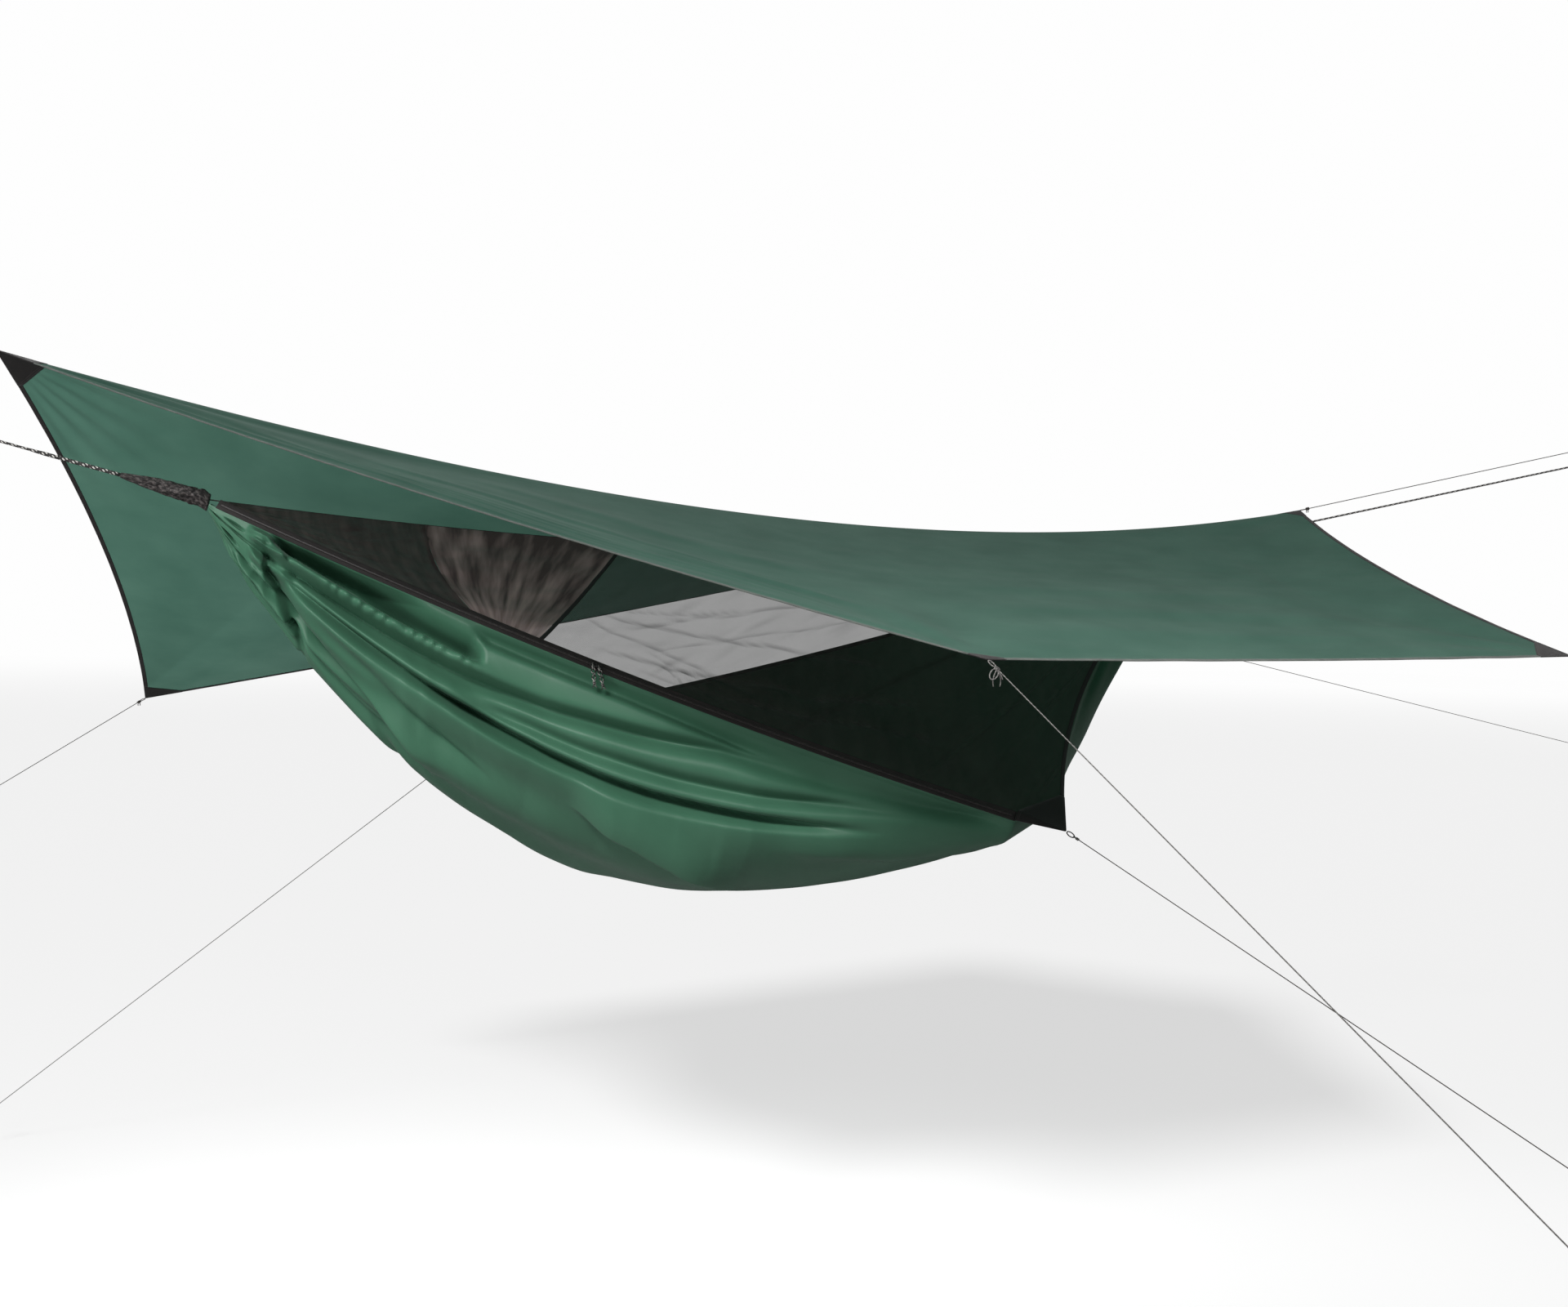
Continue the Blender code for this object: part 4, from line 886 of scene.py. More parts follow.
# Creases of the cloth: points (x, share across), height (below zero for a hollow), width above and below
# the line, and the lengths over which the crease grows and dies
CREASES = (
    # pocket under the tape, with its rounded end
    (((-1.24, 0.018), (-1.15, 0.026), (-1.00, 0.037), (-0.86, 0.043)), -0.115, 0.050, 0.008, 0.05, 0.16),
    (((-1.04, 0.036), (-0.90, 0.042), (-0.80, 0.046), (-0.74, 0.048)), -0.085, 0.022, 0.008, 0.15, 0.035),
    # ledge below the pocket, and the hollow under it
    (((-1.24, 0.066), (-1.10, 0.070), (-0.95, 0.072), (-0.80, 0.071), (-0.66, 0.066)),
     0.030, 0.026, 0.008, 0.06, 0.16),
    (((-1.21, 0.083), (-1.10, 0.087), (-0.90, 0.087), (-0.80, 0.084), (-0.70, 0.079), (-0.60, 0.074),
      (-0.50, 0.064), (-0.40, 0.056), (-0.30, 0.047), (-0.20, 0.037), (0.00, 0.030)),
     -0.052, 0.011, 0.026, 0.04, 0.40),
    (((-1.24, 0.116), (-1.10, 0.121), (-1.00, 0.126), (-0.90, 0.131), (-0.80, 0.135), (-0.66, 0.140)),
     0.024, 0.034, 0.007, 0.06, 0.16),
    # narrow hollow right under the tape, and the broad one that it opens into
    (((-0.78, 0.013), (-0.60, 0.013), (-0.40, 0.014), (-0.20, 0.017), (0.00, 0.022)),
     -0.026, 0.014, 0.014, 0.06, 0.20),
    (((-0.34, 0.026), (-0.10, 0.034), (0.10, 0.036), (0.46, 0.036)), -0.034, 0.050, 0.034, 0.30, 0.10),
    # long hollow below, with a soft one above its right part and a crest under it
    (((-1.21, 0.128), (-1.10, 0.132), (-1.00, 0.136), (-0.90, 0.140), (-0.80, 0.144), (-0.66, 0.150)),
     -0.040, 0.009, 0.014, 0.05, 0.16),
    (((-0.90, 0.144), (-0.80, 0.151), (-0.70, 0.158), (-0.60, 0.160), (-0.50, 0.158), (-0.35, 0.152),
      (-0.20, 0.142), (-0.10, 0.134), (0.05, 0.120), (0.20, 0.105)), -0.082, 0.021, 0.010, 0.20, 0.45),
    (((-0.84, 0.126), (-0.70, 0.124), (-0.50, 0.118), (-0.30, 0.106), (-0.10, 0.091), (0.10, 0.071),
      (0.34, 0.052)), -0.036, 0.024, 0.016, 0.15, 0.40),
    (((-1.32, 0.138), (-1.15, 0.146), (-0.90, 0.153), (-0.70, 0.160), (-0.50, 0.162)),
     0.012, 0.010, 0.050, 0.05, 0.25),
    # fan of creases that runs down from the left end
    (((-1.26, 0.156), (-1.10, 0.184), (-1.00, 0.200), (-0.90, 0.236), (-0.80, 0.262), (-0.68, 0.285)),
     -0.016, 0.013, 0.030, 0.06, 0.15),
    (((-1.21, 0.180), (-1.18, 0.200), (-1.15, 0.225), (-1.10, 0.252), (-1.00, 0.280), (-0.93, 0.312),
      (-0.88, 0.352), (-0.85, 0.400), (-0.81, 0.450)), 0.036, 0.100, 0.012, 0.05, 0.12),
    (((-1.20, 0.230), (-1.18, 0.245), (-1.15, 0.270), (-1.10, 0.300), (-1.00, 0.330), (-0.93, 0.360),
      (-0.88, 0.400), (-0.84, 0.450)), -0.028, 0.030, 0.045, 0.05, 0.08),
    (((-1.250, 0.150), (-1.220, 0.200), (-1.195, 0.270), (-1.175, 0.350), (-1.160, 0.430), (-1.140, 0.560)),
     -0.046, 0.030, 0.012, 0.015, 0.03),
    (((-1.00, 0.420), (-0.93, 0.500), (-0.84, 0.580)), -0.016, 0.020, 0.014, 0.04, 0.05),
    # slack folds along the bottom
    (((-0.54, 0.230), (-0.40, 0.238), (-0.30, 0.253), (-0.20, 0.280), (-0.08, 0.335)),
     0.055, 0.110, 0.012, 0.10, 0.20),
    (((-0.93, 0.430), (-0.75, 0.450), (-0.55, 0.470), (-0.35, 0.490)), 0.014, 0.070, 0.030, 0.10, 0.12),
    (((-0.10, 0.170), (0.15, 0.172), (0.36, 0.190), (0.54, 0.230)), 0.010, 0.070, 0.036, 0.20, 0.12),
    # folds that aren't seen from the front
    (((0.62, 0.200), (0.80, 0.250), (1.00, 0.280), (1.24, 0.300)), 0.014, 0.050, 0.014, 0.10, 0.08),
    (((0.55, 0.600), (0.80, 0.600), (1.00, 0.620), (1.24, 0.640)), 0.016, 0.050, 0.014, 0.10, 0.08),
    (((-1.24, 0.640), (-1.00, 0.660), (-0.70, 0.680), (-0.40, 0.700)), 0.018, 0.050, 0.014, 0.08, 0.15),
    (((-1.24, 0.820), (-1.00, 0.830), (-0.75, 0.850)), 0.016, 0.040, 0.014, 0.08, 0.12),
    (((-0.30, 0.850), (0.10, 0.860), (0.50, 0.880), (0.90, 0.900)), 0.014, 0.040, 0.014, 0.15, 0.15),
)
PLEATS = 13
PLEAT, CRUMPLED = 0.0120, 0.0140   # heights beside the gathers
STITCH_PUCKER = 0.0006
SOFT_WAVES, FINE_WAVES = 0.0030, 0.0012
SLOPE_STEP = 0.01
# Heights of single features, with the x at which each starts, is full, fades and ends
FLAP = 0.045                 # loose cloth beside the left gather
FLAP_SPAN = (-1.300, -1.260, -1.205, -1.185)
FLAP_SHARE, FLAP_FADE = 0.060, 0.080   # of the way across
POCKET_RIBS = 0.0055         # small slanting ribs below the pocket
RIBS_SPAN = (-1.15, -1.05, -0.80, -0.76)
RIBS_SHARE, RIBS_WIDTH = 0.061, 0.010
BULGE = 0.040                # slack of the cloth beyond the near tie-out
BULGE_SPAN = (0.60, 0.80, 1.15, 1.34)
PULL_ROOM = 0.002            # folds stay this low where the left zip pull hangs at its outer limit


def from_crease(points, x, t, length, grow, die):
    """Distance across the cloth from a crease, and how far the crease has grown at x."""
    xs, shares = np.array(points).T
    slope = np.interp(x + SLOPE_STEP, xs, shares) - np.interp(x - SLOPE_STEP, xs, shares)
    slope *= length / (2 * SLOPE_STEP)
    grown = span(x, xs[0], xs[0] + grow, xs[-1] - die, xs[-1])
    return (t - np.interp(x, xs, shares)) * length / np.sqrt(1 + slope ** 2), grown


crumple = waves(11, 9)
pucker = waves(23, 8)
broad = waves(31, 6)
ruffle = waves(47, 9)


def gather_pleats(x, t):
    """Pleats that fan out of the two gathers, with crumpled cloth right beside them."""
    reach = 0.0
    for distance, lean in ((x + HALF_SPAN, 1.2), (HALF_SPAN - x, 0.9)):
        near_end = min(1.0, distance / 0.05) * np.exp(-(distance / 0.32) ** 1.5)
        bent = t + 0.03 * broad(t * 7 + lean, distance * 4)
        reach = reach + PLEAT * near_end * np.cos(2 * pi * PLEATS * bent)
        tight_end = min(1.0, distance / 0.03) * np.exp(-(distance / 0.13) ** 2)
        reach = reach + CRUMPLED * tight_end * (1 - np.abs(ruffle(distance * 24 + lean, t * 9)) * 1.6)
    return reach


def cloth_folds(x, t, length):
    """All folds of the body at x, over the shares t across it, in metres outwards."""
    across = t * length
    reach = main_folds(x, t)
    for points, height, over, under, grow, die in CREASES:
        s, grown = from_crease(points, x, t, length, grow, die)
        if grown > 0:
            reach = reach + height * grown * lip(s, over, under)
    flap = span(x, *FLAP_SPAN) * (1 - rise(t, FLAP_SHARE, FLAP_FADE))
    reach = reach + FLAP * flap * np.minimum(1.0, t / FLAP_SHARE)
    reach = reach + gather_pleats(x, t)
    cleared = (1 - rise(x, -1.285, -1.265)) * (1 - rise(across, 0.065, 0.085))
    reach = mix(reach, np.minimum(reach, PULL_ROOM), cleared)
    tight = np.exp(-(across / 0.05) ** 2) + np.exp(-((length - across) / 0.05) ** 2)
    reach = reach + STITCH_PUCKER * tight * pucker(x * 38, across * 14)
    band = span(x, *RIBS_SPAN) * np.exp(-((t - RIBS_SHARE) * length / RIBS_WIDTH) ** 2)
    slant = x / 0.030 + across / 0.040 + 0.4 * broad(x * 20, across * 20)
    reach = reach + POCKET_RIBS * band * np.cos(2 * pi * slant)
    reach = reach + BULGE * span(x, *BULGE_SPAN) * np.sin(pi * np.minimum(1.0, t / 0.5)) ** 2
    reach = reach + SOFT_WAVES * broad(x * 3.2, across * 2.4 + x)
    reach = reach + FINE_WAVES * crumple(x * 9 - across * 4, across * 12)
    return reach * np.minimum(1.0, np.minimum(across, length - across) / 0.010)


HEM_TUCK = 0.002             # cloth inside the tape
STRIP_OUT = 0.044            # slack of the cloth beyond the near short hem
STRIP_SPAN = (0.62, 0.85, 1.18, 1.34)


def body_rows(stations, shares):
    """The body's cross-sections: smooth curves between the two hems, with the folds laid on them."""
    rows = []
    for x in stations:
        near = hem("near", x, -1, SEAM_GAP)
        far = hem("far", x, -1, SEAM_GAP)
        control = section_control(near[2], far[2], body_bottom(x))
        limit = 0.35 * (far[1] - near[1])
        push_n = min(limit, (near[2] - control) * tan(body_lean(x, NEAR_TIE[0])))
        push_f = min(limit, (far[2] - control) * tan(body_lean(x, FAR_TIE[0])))
        p1 = vec(near[0], near[1] - push_n, control)
        p2 = vec(far[0], far[1] + push_f, control)
        t = shares[:, None]
        s = 1 - t
        section = s ** 3 * near + 3 * s * s * t * p1 + 3 * s * t * t * p2 + t ** 3 * far
        slope = s * s * (p1 - near) + 2 * s * t * (p2 - p1) + t * t * (far - p2)
        normal = units(np.stack([0 * slope[:, 2], slope[:, 2], -slope[:, 1]], 1))
        length = float(np.linalg.norm(np.diff(section, axis=0), axis=1).sum())
        section = section + normal * cloth_folds(x, shares, length)[:, None]
        strip = span(x, *STRIP_SPAN) * np.sin(pi * np.minimum(1.0, shares / 0.35)) ** 2
        section[:, 0] += STRIP_OUT * strip
        section[0] = hem("near", x, -1, -HEM_TUCK)
        section[-1] = hem("far", x, -1, -HEM_TUCK)
        rows.append(section)
    return np.array(rows)


BODY_ROWS, BODY_COLUMNS = 520, 320
ease = np.linspace(-1, 1, BODY_ROWS)
body_stations = mix(BODY_LEFT, BODY_RIGHT, (0.5 + 0.5 * np.sin(ease * pi / 2) * 0.45 + 0.275 * ease))
body_shares = np.linspace(0, 1, BODY_COLUMNS) ** 1.35
body_grid = body_rows(body_stations, body_shares)


def lengths_across(rows):
    """Distance of each point of a grid from the start of its row."""
    steps = np.linalg.norm(np.diff(rows, axis=1), axis=2)
    return np.concatenate([np.zeros((len(rows), 1)), np.cumsum(steps, axis=1)], 1)


def cloth_piece(name, rows, material, node, values=None):
    """A sheet of the hammock, with its map in metres along x and across from its middle."""
    shape = Shape()
    across = lengths_across(rows)
    along = np.repeat(rows[:, rows.shape[1] // 2, 0][:, None], rows.shape[1], 1)
    shape.grid(rows, along, across - across[:, -1:] / 2, values=values)
    return piece(name, shape, material, "hammock", node, closed=False)


hammock_cloth = cloth_piece("hammock_cloth", body_grid, body_cloth, "hammock_body")


# Tapes and bindings
RIBBON_TOP = ((-0.5, 0.15), (-0.46, 0.42), (-0.3, 0.5), (0, 0.5), (0.3, 0.5), (0.46, 0.42), (0.5, 0.15))
COIL_TOOTH = ((-0.5, -0.35), (-0.42, 0.15), (-0.2, 0.45), (0, 0.36), (0.2, 0.45), (0.42, 0.15), (0.5, -0.35),
              (0, -0.45))
COIL_POINTS = 1300
COIL_ROUND = 0.012           # length round the coil's section, for its map
COIL_SHORT = 0.004           # share of the edge by which the coil is shorter than its tape


def ribbon(name, inner, outer, thickness, material, node, body="hammock", ripple=0.0004,
           seed=5):
    """A woven tape between two edge lines, a little wavy, with rounded edges."""
    inner = np.asarray(inner)
    outer = np.asarray(outer)
    middle = (inner + outer) / 2
    width = np.linalg.norm(outer - inner, axis=1)
    across = (outer - inner) / width[:, None]
    face = np.cross(units(np.gradient(middle, axis=0)), across)
    u = distances(middle)
    sway = waves(seed)(u * 16, 0 * u) * ripple
    outline = [*RIBBON_TOP, *((-a, -b) for a, b in RIBBON_TOP)]
    rows = [middle + across * (a * width)[:, None] + face * (b * thickness + sway)[:, None]
            for a, b in outline]
    v = np.array([a for a, _ in [*outline, outline[0]]]) * float(np.median(width))
    shape = Shape()
    shape.skin(np.stack(rows, 1), u, v)
    piece(name, shape, material, body, node)


def tape_edge(way):
    return [near_long.point(t) + tape_up(t) * way * TAPE_W / 2 for t in np.linspace(ZIP_LOW, ZIP_HIGH, 260)]


ZIP_HIGH = NEAR_PATCH_A
ribbon("zip_tape", tape_edge(-1), tape_edge(1), TAPE_T, zip_tape, "near_zip_tape")


def zip_chain():
    """Coil teeth along the middle of the zip tape."""
    rows = []
    for i, t in enumerate(np.linspace(ZIP_LOW + COIL_SHORT, ZIP_HIGH - COIL_SHORT, COIL_POINTS)):
        up = tape_up(t)
        face = np.cross(near_long.tangent(t), up)
        middle = near_long.point(t) + face * ((TAPE_T + CHAIN_T) / 2 + GAP)
        tooth = 1.0 if i % 4 < 2 else 0.72
        wide = CHAIN_W * (0.9 + 0.1 * tooth)
        rows.append([middle + up * a * wide + face * b * CHAIN_T * tooth for a, b in COIL_TOOTH])
    shape = Shape()
    shape.grid(rows, np.linspace(0, near_long.length, COIL_POINTS),
               np.linspace(0, COIL_ROUND, len(COIL_TOOTH) + 1), wrap=True)
    look = metal_look("coil", (0.024, 0.020, 0.020), (0.070, 0.060, 0.058), 0.0, 0.5)
    piece("zip_coil", shape, look, "hammock", "near_zip_chain")


zip_chain()


def hem_ribbon(name, side, low, high, node):
    xs = np.linspace(low, high, 150)
    ribbon(name, [hem(side, x, -1) for x in xs], [hem(side, x, 1) for x in xs], BINDING_T, black_tape, node)


hem_ribbon("foot_binding", "near", near_short.point(NEAR_PATCH_B)[0], NET_END, "near_foot_binding")
hem_ribbon("head_binding", "far", -NET_END, far_short.point(FAR_PATCH_A)[0], "far_head_binding")
hem_ribbon("long_binding", "far", far_long.point(FAR_PATCH_B)[0], NET_END, "far_long_binding")


# Patches
PATCH_WIDE, PATCH_DEEP = 33, 17
SIDE_PATCH_CROWN = 0.002


def patch(name, tip, rim, body, node, crown=0.0):
    """A sewn patch from its tip to a rim of points; its map counts metres from the rim."""
    rim = np.array(rim)
    steps = distances(rim)
    places = np.linspace(0, steps[-1], PATCH_WIDE)
    edge = np.stack([np.interp(places, steps, rim[:, k]) for k in range(3)], 1)
    normal = unit(np.cross(edge[0] - tip, edge[-1] - tip))
    bulge = np.sin(np.linspace(0, pi, PATCH_WIDE))[:, None] * normal
    rows = np.array([tip + (edge - tip) * v + crown * 4 * v * (1 - v) * bulge
                     for v in np.linspace(0.02, 1, PATCH_DEEP)])
    shape = Shape()
    shape.grid(rows, np.repeat(places[None], PATCH_DEEP, 0), np.linalg.norm(rows - edge, axis=2))
    obj = piece(name, shape, patch_cloth, body, node, closed=False)
    solid = obj.modifiers.new("thickness", "SOLIDIFY")
    solid.thickness = PATCH_T
    solid.offset = 0.0


def tie_patch(side, arc_a, share_a, arc_b, share_b, tip, lift):
    corners = ((arc_a, share_a, -1), (arc_a, share_a, 1), (arc_b, share_b, 1), (arc_b, share_b, -1))
    patch(side + "_side_patch", tip + lift, [hem_on(side, *corner) + lift for corner in corners], "hammock",
          side + "_tieout_patch", SIDE_PATCH_CROWN)


tie_patch("near", near_long, NEAR_PATCH_A, near_short, NEAR_PATCH_B, NEAR_TIE, near_lift)
tie_patch("far", far_short, FAR_PATCH_A, far_long, FAR_PATCH_B, FAR_TIE, far_lift)


# Bug net
NET_TOP = NET_CORD_R + GAP + NET_T / 2 + 0.0002
NET_SLACK = 0.030            # share of its height that the net gives inwards
NET_RIPPLE, NET_WRINKLE, NET_CREASE = 0.0045, 0.0022, 0.006   # heights
SEAM_DENSER = 0.5            # cover that is added where the net is folded into a seam
LEAST_DENSER = 0.002         # above zero, so that every net carries the attribute
FOOT_TUCK = 0.0015
SEAM_T = 0.0016
HALF_SEAM = SEAM_W / 2
# Creases of the main net: start and end (x, share down), width and how much denser they are
NET_CREASES = (
    ((-0.56, 0.62), (0.20, 0.52), 0.006, 0.22),
    ((-0.58, 0.70), (-0.10, 0.86), 0.005, 0.20),
    ((-0.52, 0.55), (-0.20, 0.38), 0.005, 0.12),
    ((-0.50, 0.90), (0.30, 0.66), 0.006, 0.26),
    ((-0.42, 0.97), (0.34, 0.78), 0.005, 0.22),
    ((-0.40, 0.82), (-0.05, 0.93), 0.004, 0.16),
    ((-0.30, 0.88), (-0.16, 0.98), 0.004, 0.20),
    ((-0.36, 0.86), (-0.24, 0.99), 0.004, 0.18),
)
FAR_CREASES = (
    ((-0.30, 0.45), (0.40, 0.38), 0.006, 0.20),
    ((-0.20, 0.62), (0.50, 0.66), 0.005, 0.16),
)
net_ripple = waves(61, 8)
net_wrinkle = waves(67, 9)


def net_line(side, top_x, foot_x, tuck=0.0):
    """Top and foot of the net at one place, its length there and the direction in which it gives."""
    out = -1 if side == "near" else 1
    top = net_ridge(top_x) + vec(0, out * NET_TOP, 0)
    foot = hem(side, foot_x, 1, -tuck)
    inward = unit(vec(0, -out * (top[2] - foot[2]), -abs(foot[1] - top[1])))
    return top, foot, np.linalg.norm(foot - top), inward


def net_piece(name, side, top_span, foot_span, material, node, seed, count, wide=60, bows=(0.0, 0.0),
              creases=(), edges=(0.0, 0.0)):
    """A panel of net from its ridge line to the hem, slack and lightly wrinkled."""
    v = np.linspace(0, 1, wide)
    rows = []
    density = []
    for s in np.linspace(0, 1, count):
        x = mix(*foot_span, s)
        top, foot, drop, inward = net_line(side, mix(*top_span, s), x, FOOT_TUCK)
        row = top + (foot - top) * v[:, None]
        row[:, 0] += mix(*bows, s) * 4 * v * (1 - v)
        wrinkle = NET_RIPPLE * net_ripple(x * 6 + 5 * seed, v * 3)
        wrinkle = wrinkle + NET_WRINKLE * net_wrinkle(x * 22 + v * 8, v * 9 + seed)
        dense = 0.06 * np.abs(net_wrinkle(x * 13 + v * 9, v * 5 + 2 * seed)) ** 3
        dense = dense + SEAM_DENSER * (edges[0] * (s < 0.012) + edges[1] * (s > 0.985))
        for (xa, va), (xb, vb), width, weight in creases:
            share = (x - xa) / (xb - xa)
            grown = float(span(share, -0.05, 0.12, 0.88, 1.05))
            if grown > 0:
                gap = (v - mix(va, vb, share) - 0.02 * net_ripple(x * 9, xa * 7)) * drop
                dense = dense + weight * grown * np.exp(-(gap / width) ** 2)
                wrinkle = wrinkle + NET_CREASE * grown * np.exp(-(gap / (2 * width)) ** 2)
        give = NET_SLACK * drop * np.sin(pi * v) + wrinkle * np.minimum(1, 8 * v * (1 - v))
        rows.append(row + inward * give[:, None])
        density.append(dense * np.minimum(1, 12 * v * (1 - v)) + LEAST_DENSER)
    return cloth_piece(name, np.array(rows), material, node, np.array(density))


head_net = net_piece("net_head", "near", (-NET_END, HEAD_SEAM_TOP), (-NET_END, HEAD_SEAM_FOOT), head_net_mesh,
                     "near_net_head", 1, 90, bows=(0.0, HEAD_SEAM_BOW), edges=(0.0, 1.0))
panel_net = net_piece("net_panel", "near", (HEAD_SEAM_TOP, BLACK_SEAM_TOP - HALF_SEAM),
                      (HEAD_SEAM_FOOT, BLACK_SEAM_FOOT - HALF_SEAM), brown_net, "near_net_panel",
                      2, 120, bows=(HEAD_SEAM_BOW, 0.0), edges=(1.0, 0.0))
main_net = net_piece("net_main", "near", (BLACK_SEAM_TOP + HALF_SEAM, NET_END),
                     (BLACK_SEAM_FOOT + HALF_SEAM, NET_END), fine_net, "near_net_main", 3, 220,
                     creases=NET_CREASES)
far_net = net_piece("net_far", "far", (-NET_END, NET_END), (-NET_END, NET_END), fine_net, "far_net", 4,
                    240, wide=50, creases=FAR_CREASES)


def seam_edge(way):
    """One edge of the black seam between the dense panel and the main net."""
    offset = way * HALF_SEAM
    top, foot, drop, inward = net_line("near", BLACK_SEAM_TOP + offset, BLACK_SEAM_FOOT + offset)
    return [mix(top, foot, v) + inward * NET_SLACK * drop * sin(pi * v) for v in np.linspace(0, 1, 60)]


ribbon("net_seam", seam_edge(-1), seam_edge(1), SEAM_T, seam_tape, "near_net_seam", ripple=0.0008)
ridge_line = Shape()
cord_end = HALF_SPAN - 2 * GAP
ridge_line.tube([net_ridge(x) for x in np.linspace(-cord_end, cord_end, 60)], NET_CORD_R, 10)
piece("ridge_cord", ridge_line, dark_braid, "hammock", "net_ridgeline")


# Crinkled mesh sleeves over the gathered ends
def sleeve(side, end, direction, seed):
    outwards = vec(np.sign(direction[0]), 0, 0)
    first, second = across_of(direction)
    rings, sides = 90, 72
    rough = waves(seed, 10)
    deep = waves(seed + 1, 8)
    angle = 2 * pi * np.arange(sides) / sides
    around = np.cos(angle)[:, None] * first + 0.92 * np.sin(angle)[:, None] * second
    rows = []
    for s in np.linspace(0, 1, rings):
        mouth = 1 - rise(s, 0.0, 0.10)
        middle = end + direction * s * SLEEVE_L + (outwards * GAP - vec(0, 0, MOUTH_DROP)) * mouth
        radius = SLEEVE_R * mix(1.08, 1.0, min(1, 10 * s)) * (1 - 0.68 * s ** 2.2)
        radius = max(radius, 1.25 * SPLICE_R)
        folds = np.cos(angle * 5 + 9 * s) * 0.10 + deep(s * 9, np.cos(angle) * 2) * 0.16
        ridges = (0.5 - np.abs(rough(s * 22 + np.cos(angle), np.sin(angle) * 2.4))) * 0.34
        size = radius * (1 + (folds + ridges) * (1 - s) ** 0.5 * min(1, 0.35 + 5 * s))
        rows.append(middle + size[:, None] * around)
    shape = Shape()
    shape.skin(rows, np.linspace(0, SLEEVE_L, rings), np.linspace(0, 2 * pi * SLEEVE_R, sides + 1))
    piece(side + "_sleeve", shape, sleeve_mesh, "hammock", side + "_end_sleeve")


sleeve("left", LEFT_END, LEFT_ROPE, 71)
sleeve("right", RIGHT_END, RIGHT_ROPE, 81)


# Zip pulls: a doubled cord through each slider's bridge, with a knot at either end
PULL_SPREAD = 0.08           # the two pulls hang a little apart
PULL_CORD_R = 0.0017
PULL_RING_CORD_R = 0.0005
PULL_TURNS = 1.5             # of the two strands about each other
PULL_POINTS = 46
TOP_KNOT_L, TOP_KNOT_R, TOP_KNOT_DOWN = 0.006, 0.0036, 0.004
LOW_KNOT_L, LOW_KNOT_R, LOW_KNOT_UP = 0.007, 0.0042, 0.008
TAIL_DOWN, TAIL_OUT = 0.007, 0.003


def zip_pull(side_name, side):
    t = ZIP_MEET + side * (SLIDER_L + SLIDER_APART) / 2 / near_long.length
    up = tape_up(t)
    along = near_long.tangent(t)
    out = np.cross(along, up)
    bar = near_long.point(t) + out * (TAPE_T / 2 + GAP + SLIDER_T + BRIDGE_STAND + BRIDGE_R)
    hang = unit(-up * cos(PULL_TILT) + out * sin(PULL_TILT) + along * (PULL_DRIFT + side * PULL_SPREAD))
    beside = unit(np.cross(hang, out))
    start = bar + hang * PULL_RING_R
    shape = Shape()
    shape.ring(oval(bar, PULL_RING_R * up, PULL_RING_R * out, 16), PULL_RING_CORD_R)
    for strand in (-1, 1):
        route = []
        for s in np.linspace(0, 1, PULL_POINTS):
            angle = 2 * pi * PULL_TURNS * s + (pi if strand > 0 else 0)
            wide = 0.0014 + 0.0036 * sin(pi * min(1, 1.1 * s))
            route.append(start + hang * PULL_L * s + wide * (cos(angle) * beside + sin(angle) * out))
        shape.tube(route, PULL_CORD_R)
        spread = hang * TAIL_DOWN + beside * strand * TAIL_OUT
        shape.tube([route[-1] + spread * q for q in np.linspace(0, 1, 5)], PULL_CORD_R * 0.85)
    low_start = start + hang * (PULL_L - LOW_KNOT_UP)
    shape.tube(coil(low_start, hang, LOW_KNOT_L, LOW_KNOT_R, PULL_CORD_R, 2), PULL_CORD_R)
    shape.tube(coil(start + hang * TOP_KNOT_DOWN, hang, TOP_KNOT_L, TOP_KNOT_R, PULL_CORD_R, 2), PULL_CORD_R)
    piece(side_name + "_pull_cord", shape, pull_braid, side_name + "_pull",
          side_name + "_zip_pull")


zip_pull("left", -1)
zip_pull("right", 1)

for node in ("left_zip_slider", "right_zip_slider"):
    for material_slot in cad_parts[node].material_slots:
        material_slot.material = slider_metal


# Tarp: one sheet from its sagging ridge to its edges
EDGES = {
    "near_long": Arc(TARP_L, TARP_NM, 0.024, vec(0, 0.3, -1)),
    "near_low": Arc(TARP_NM, TARP_NR, 0.006, vec(0, 0, -1)),
    "near_end": Arc(TARP_NR, TARP_R, 0.055, vec(-1, 0.4, -0.2)),
    "far_end": Arc(TARP_L, TARP_FL, 0.066, vec(1, -0.3, -0.2)),
    "far_low": Arc(TARP_FL, TARP_F2, 0.012, vec(0, -0.5, -1)),
    "far_long": Arc(TARP_F2, TARP_R, 0.030, vec(0, -0.5, -1)),
}
NEAR_RUN = ("near_long", "near_low", "near_end")
FAR_RUN = ("far_end", "far_low", "far_long")
CUTS = {"near_long": (0.110, 0.040), "near_low": (0.040, 0.100), "near_end": (0.100, 0.060),
        "far_end": (0.110, 0.070), "far_low": (0.110, 0.090), "far_long": (0.090, 0.060)}
STEPS = {"near_long": 11, "near_low": 6, "near_end": 6, "far_end": 6, "far_low": 10, "far_long": 7}
STATIONS = sum(STEPS[name] for name in NEAR_RUN) + len(NEAR_RUN) - 1


def tarp_ridge(x):
    share = (x - TARP_L[0]) / (TARP_R[0] - TARP_L[0])
    sag = 4 * share * (1 - share) * (RIDGE_SAG + RIDGE_SKEW * share)
    return mix(TARP_L, TARP_R, share) - vec(0, 0, sag)


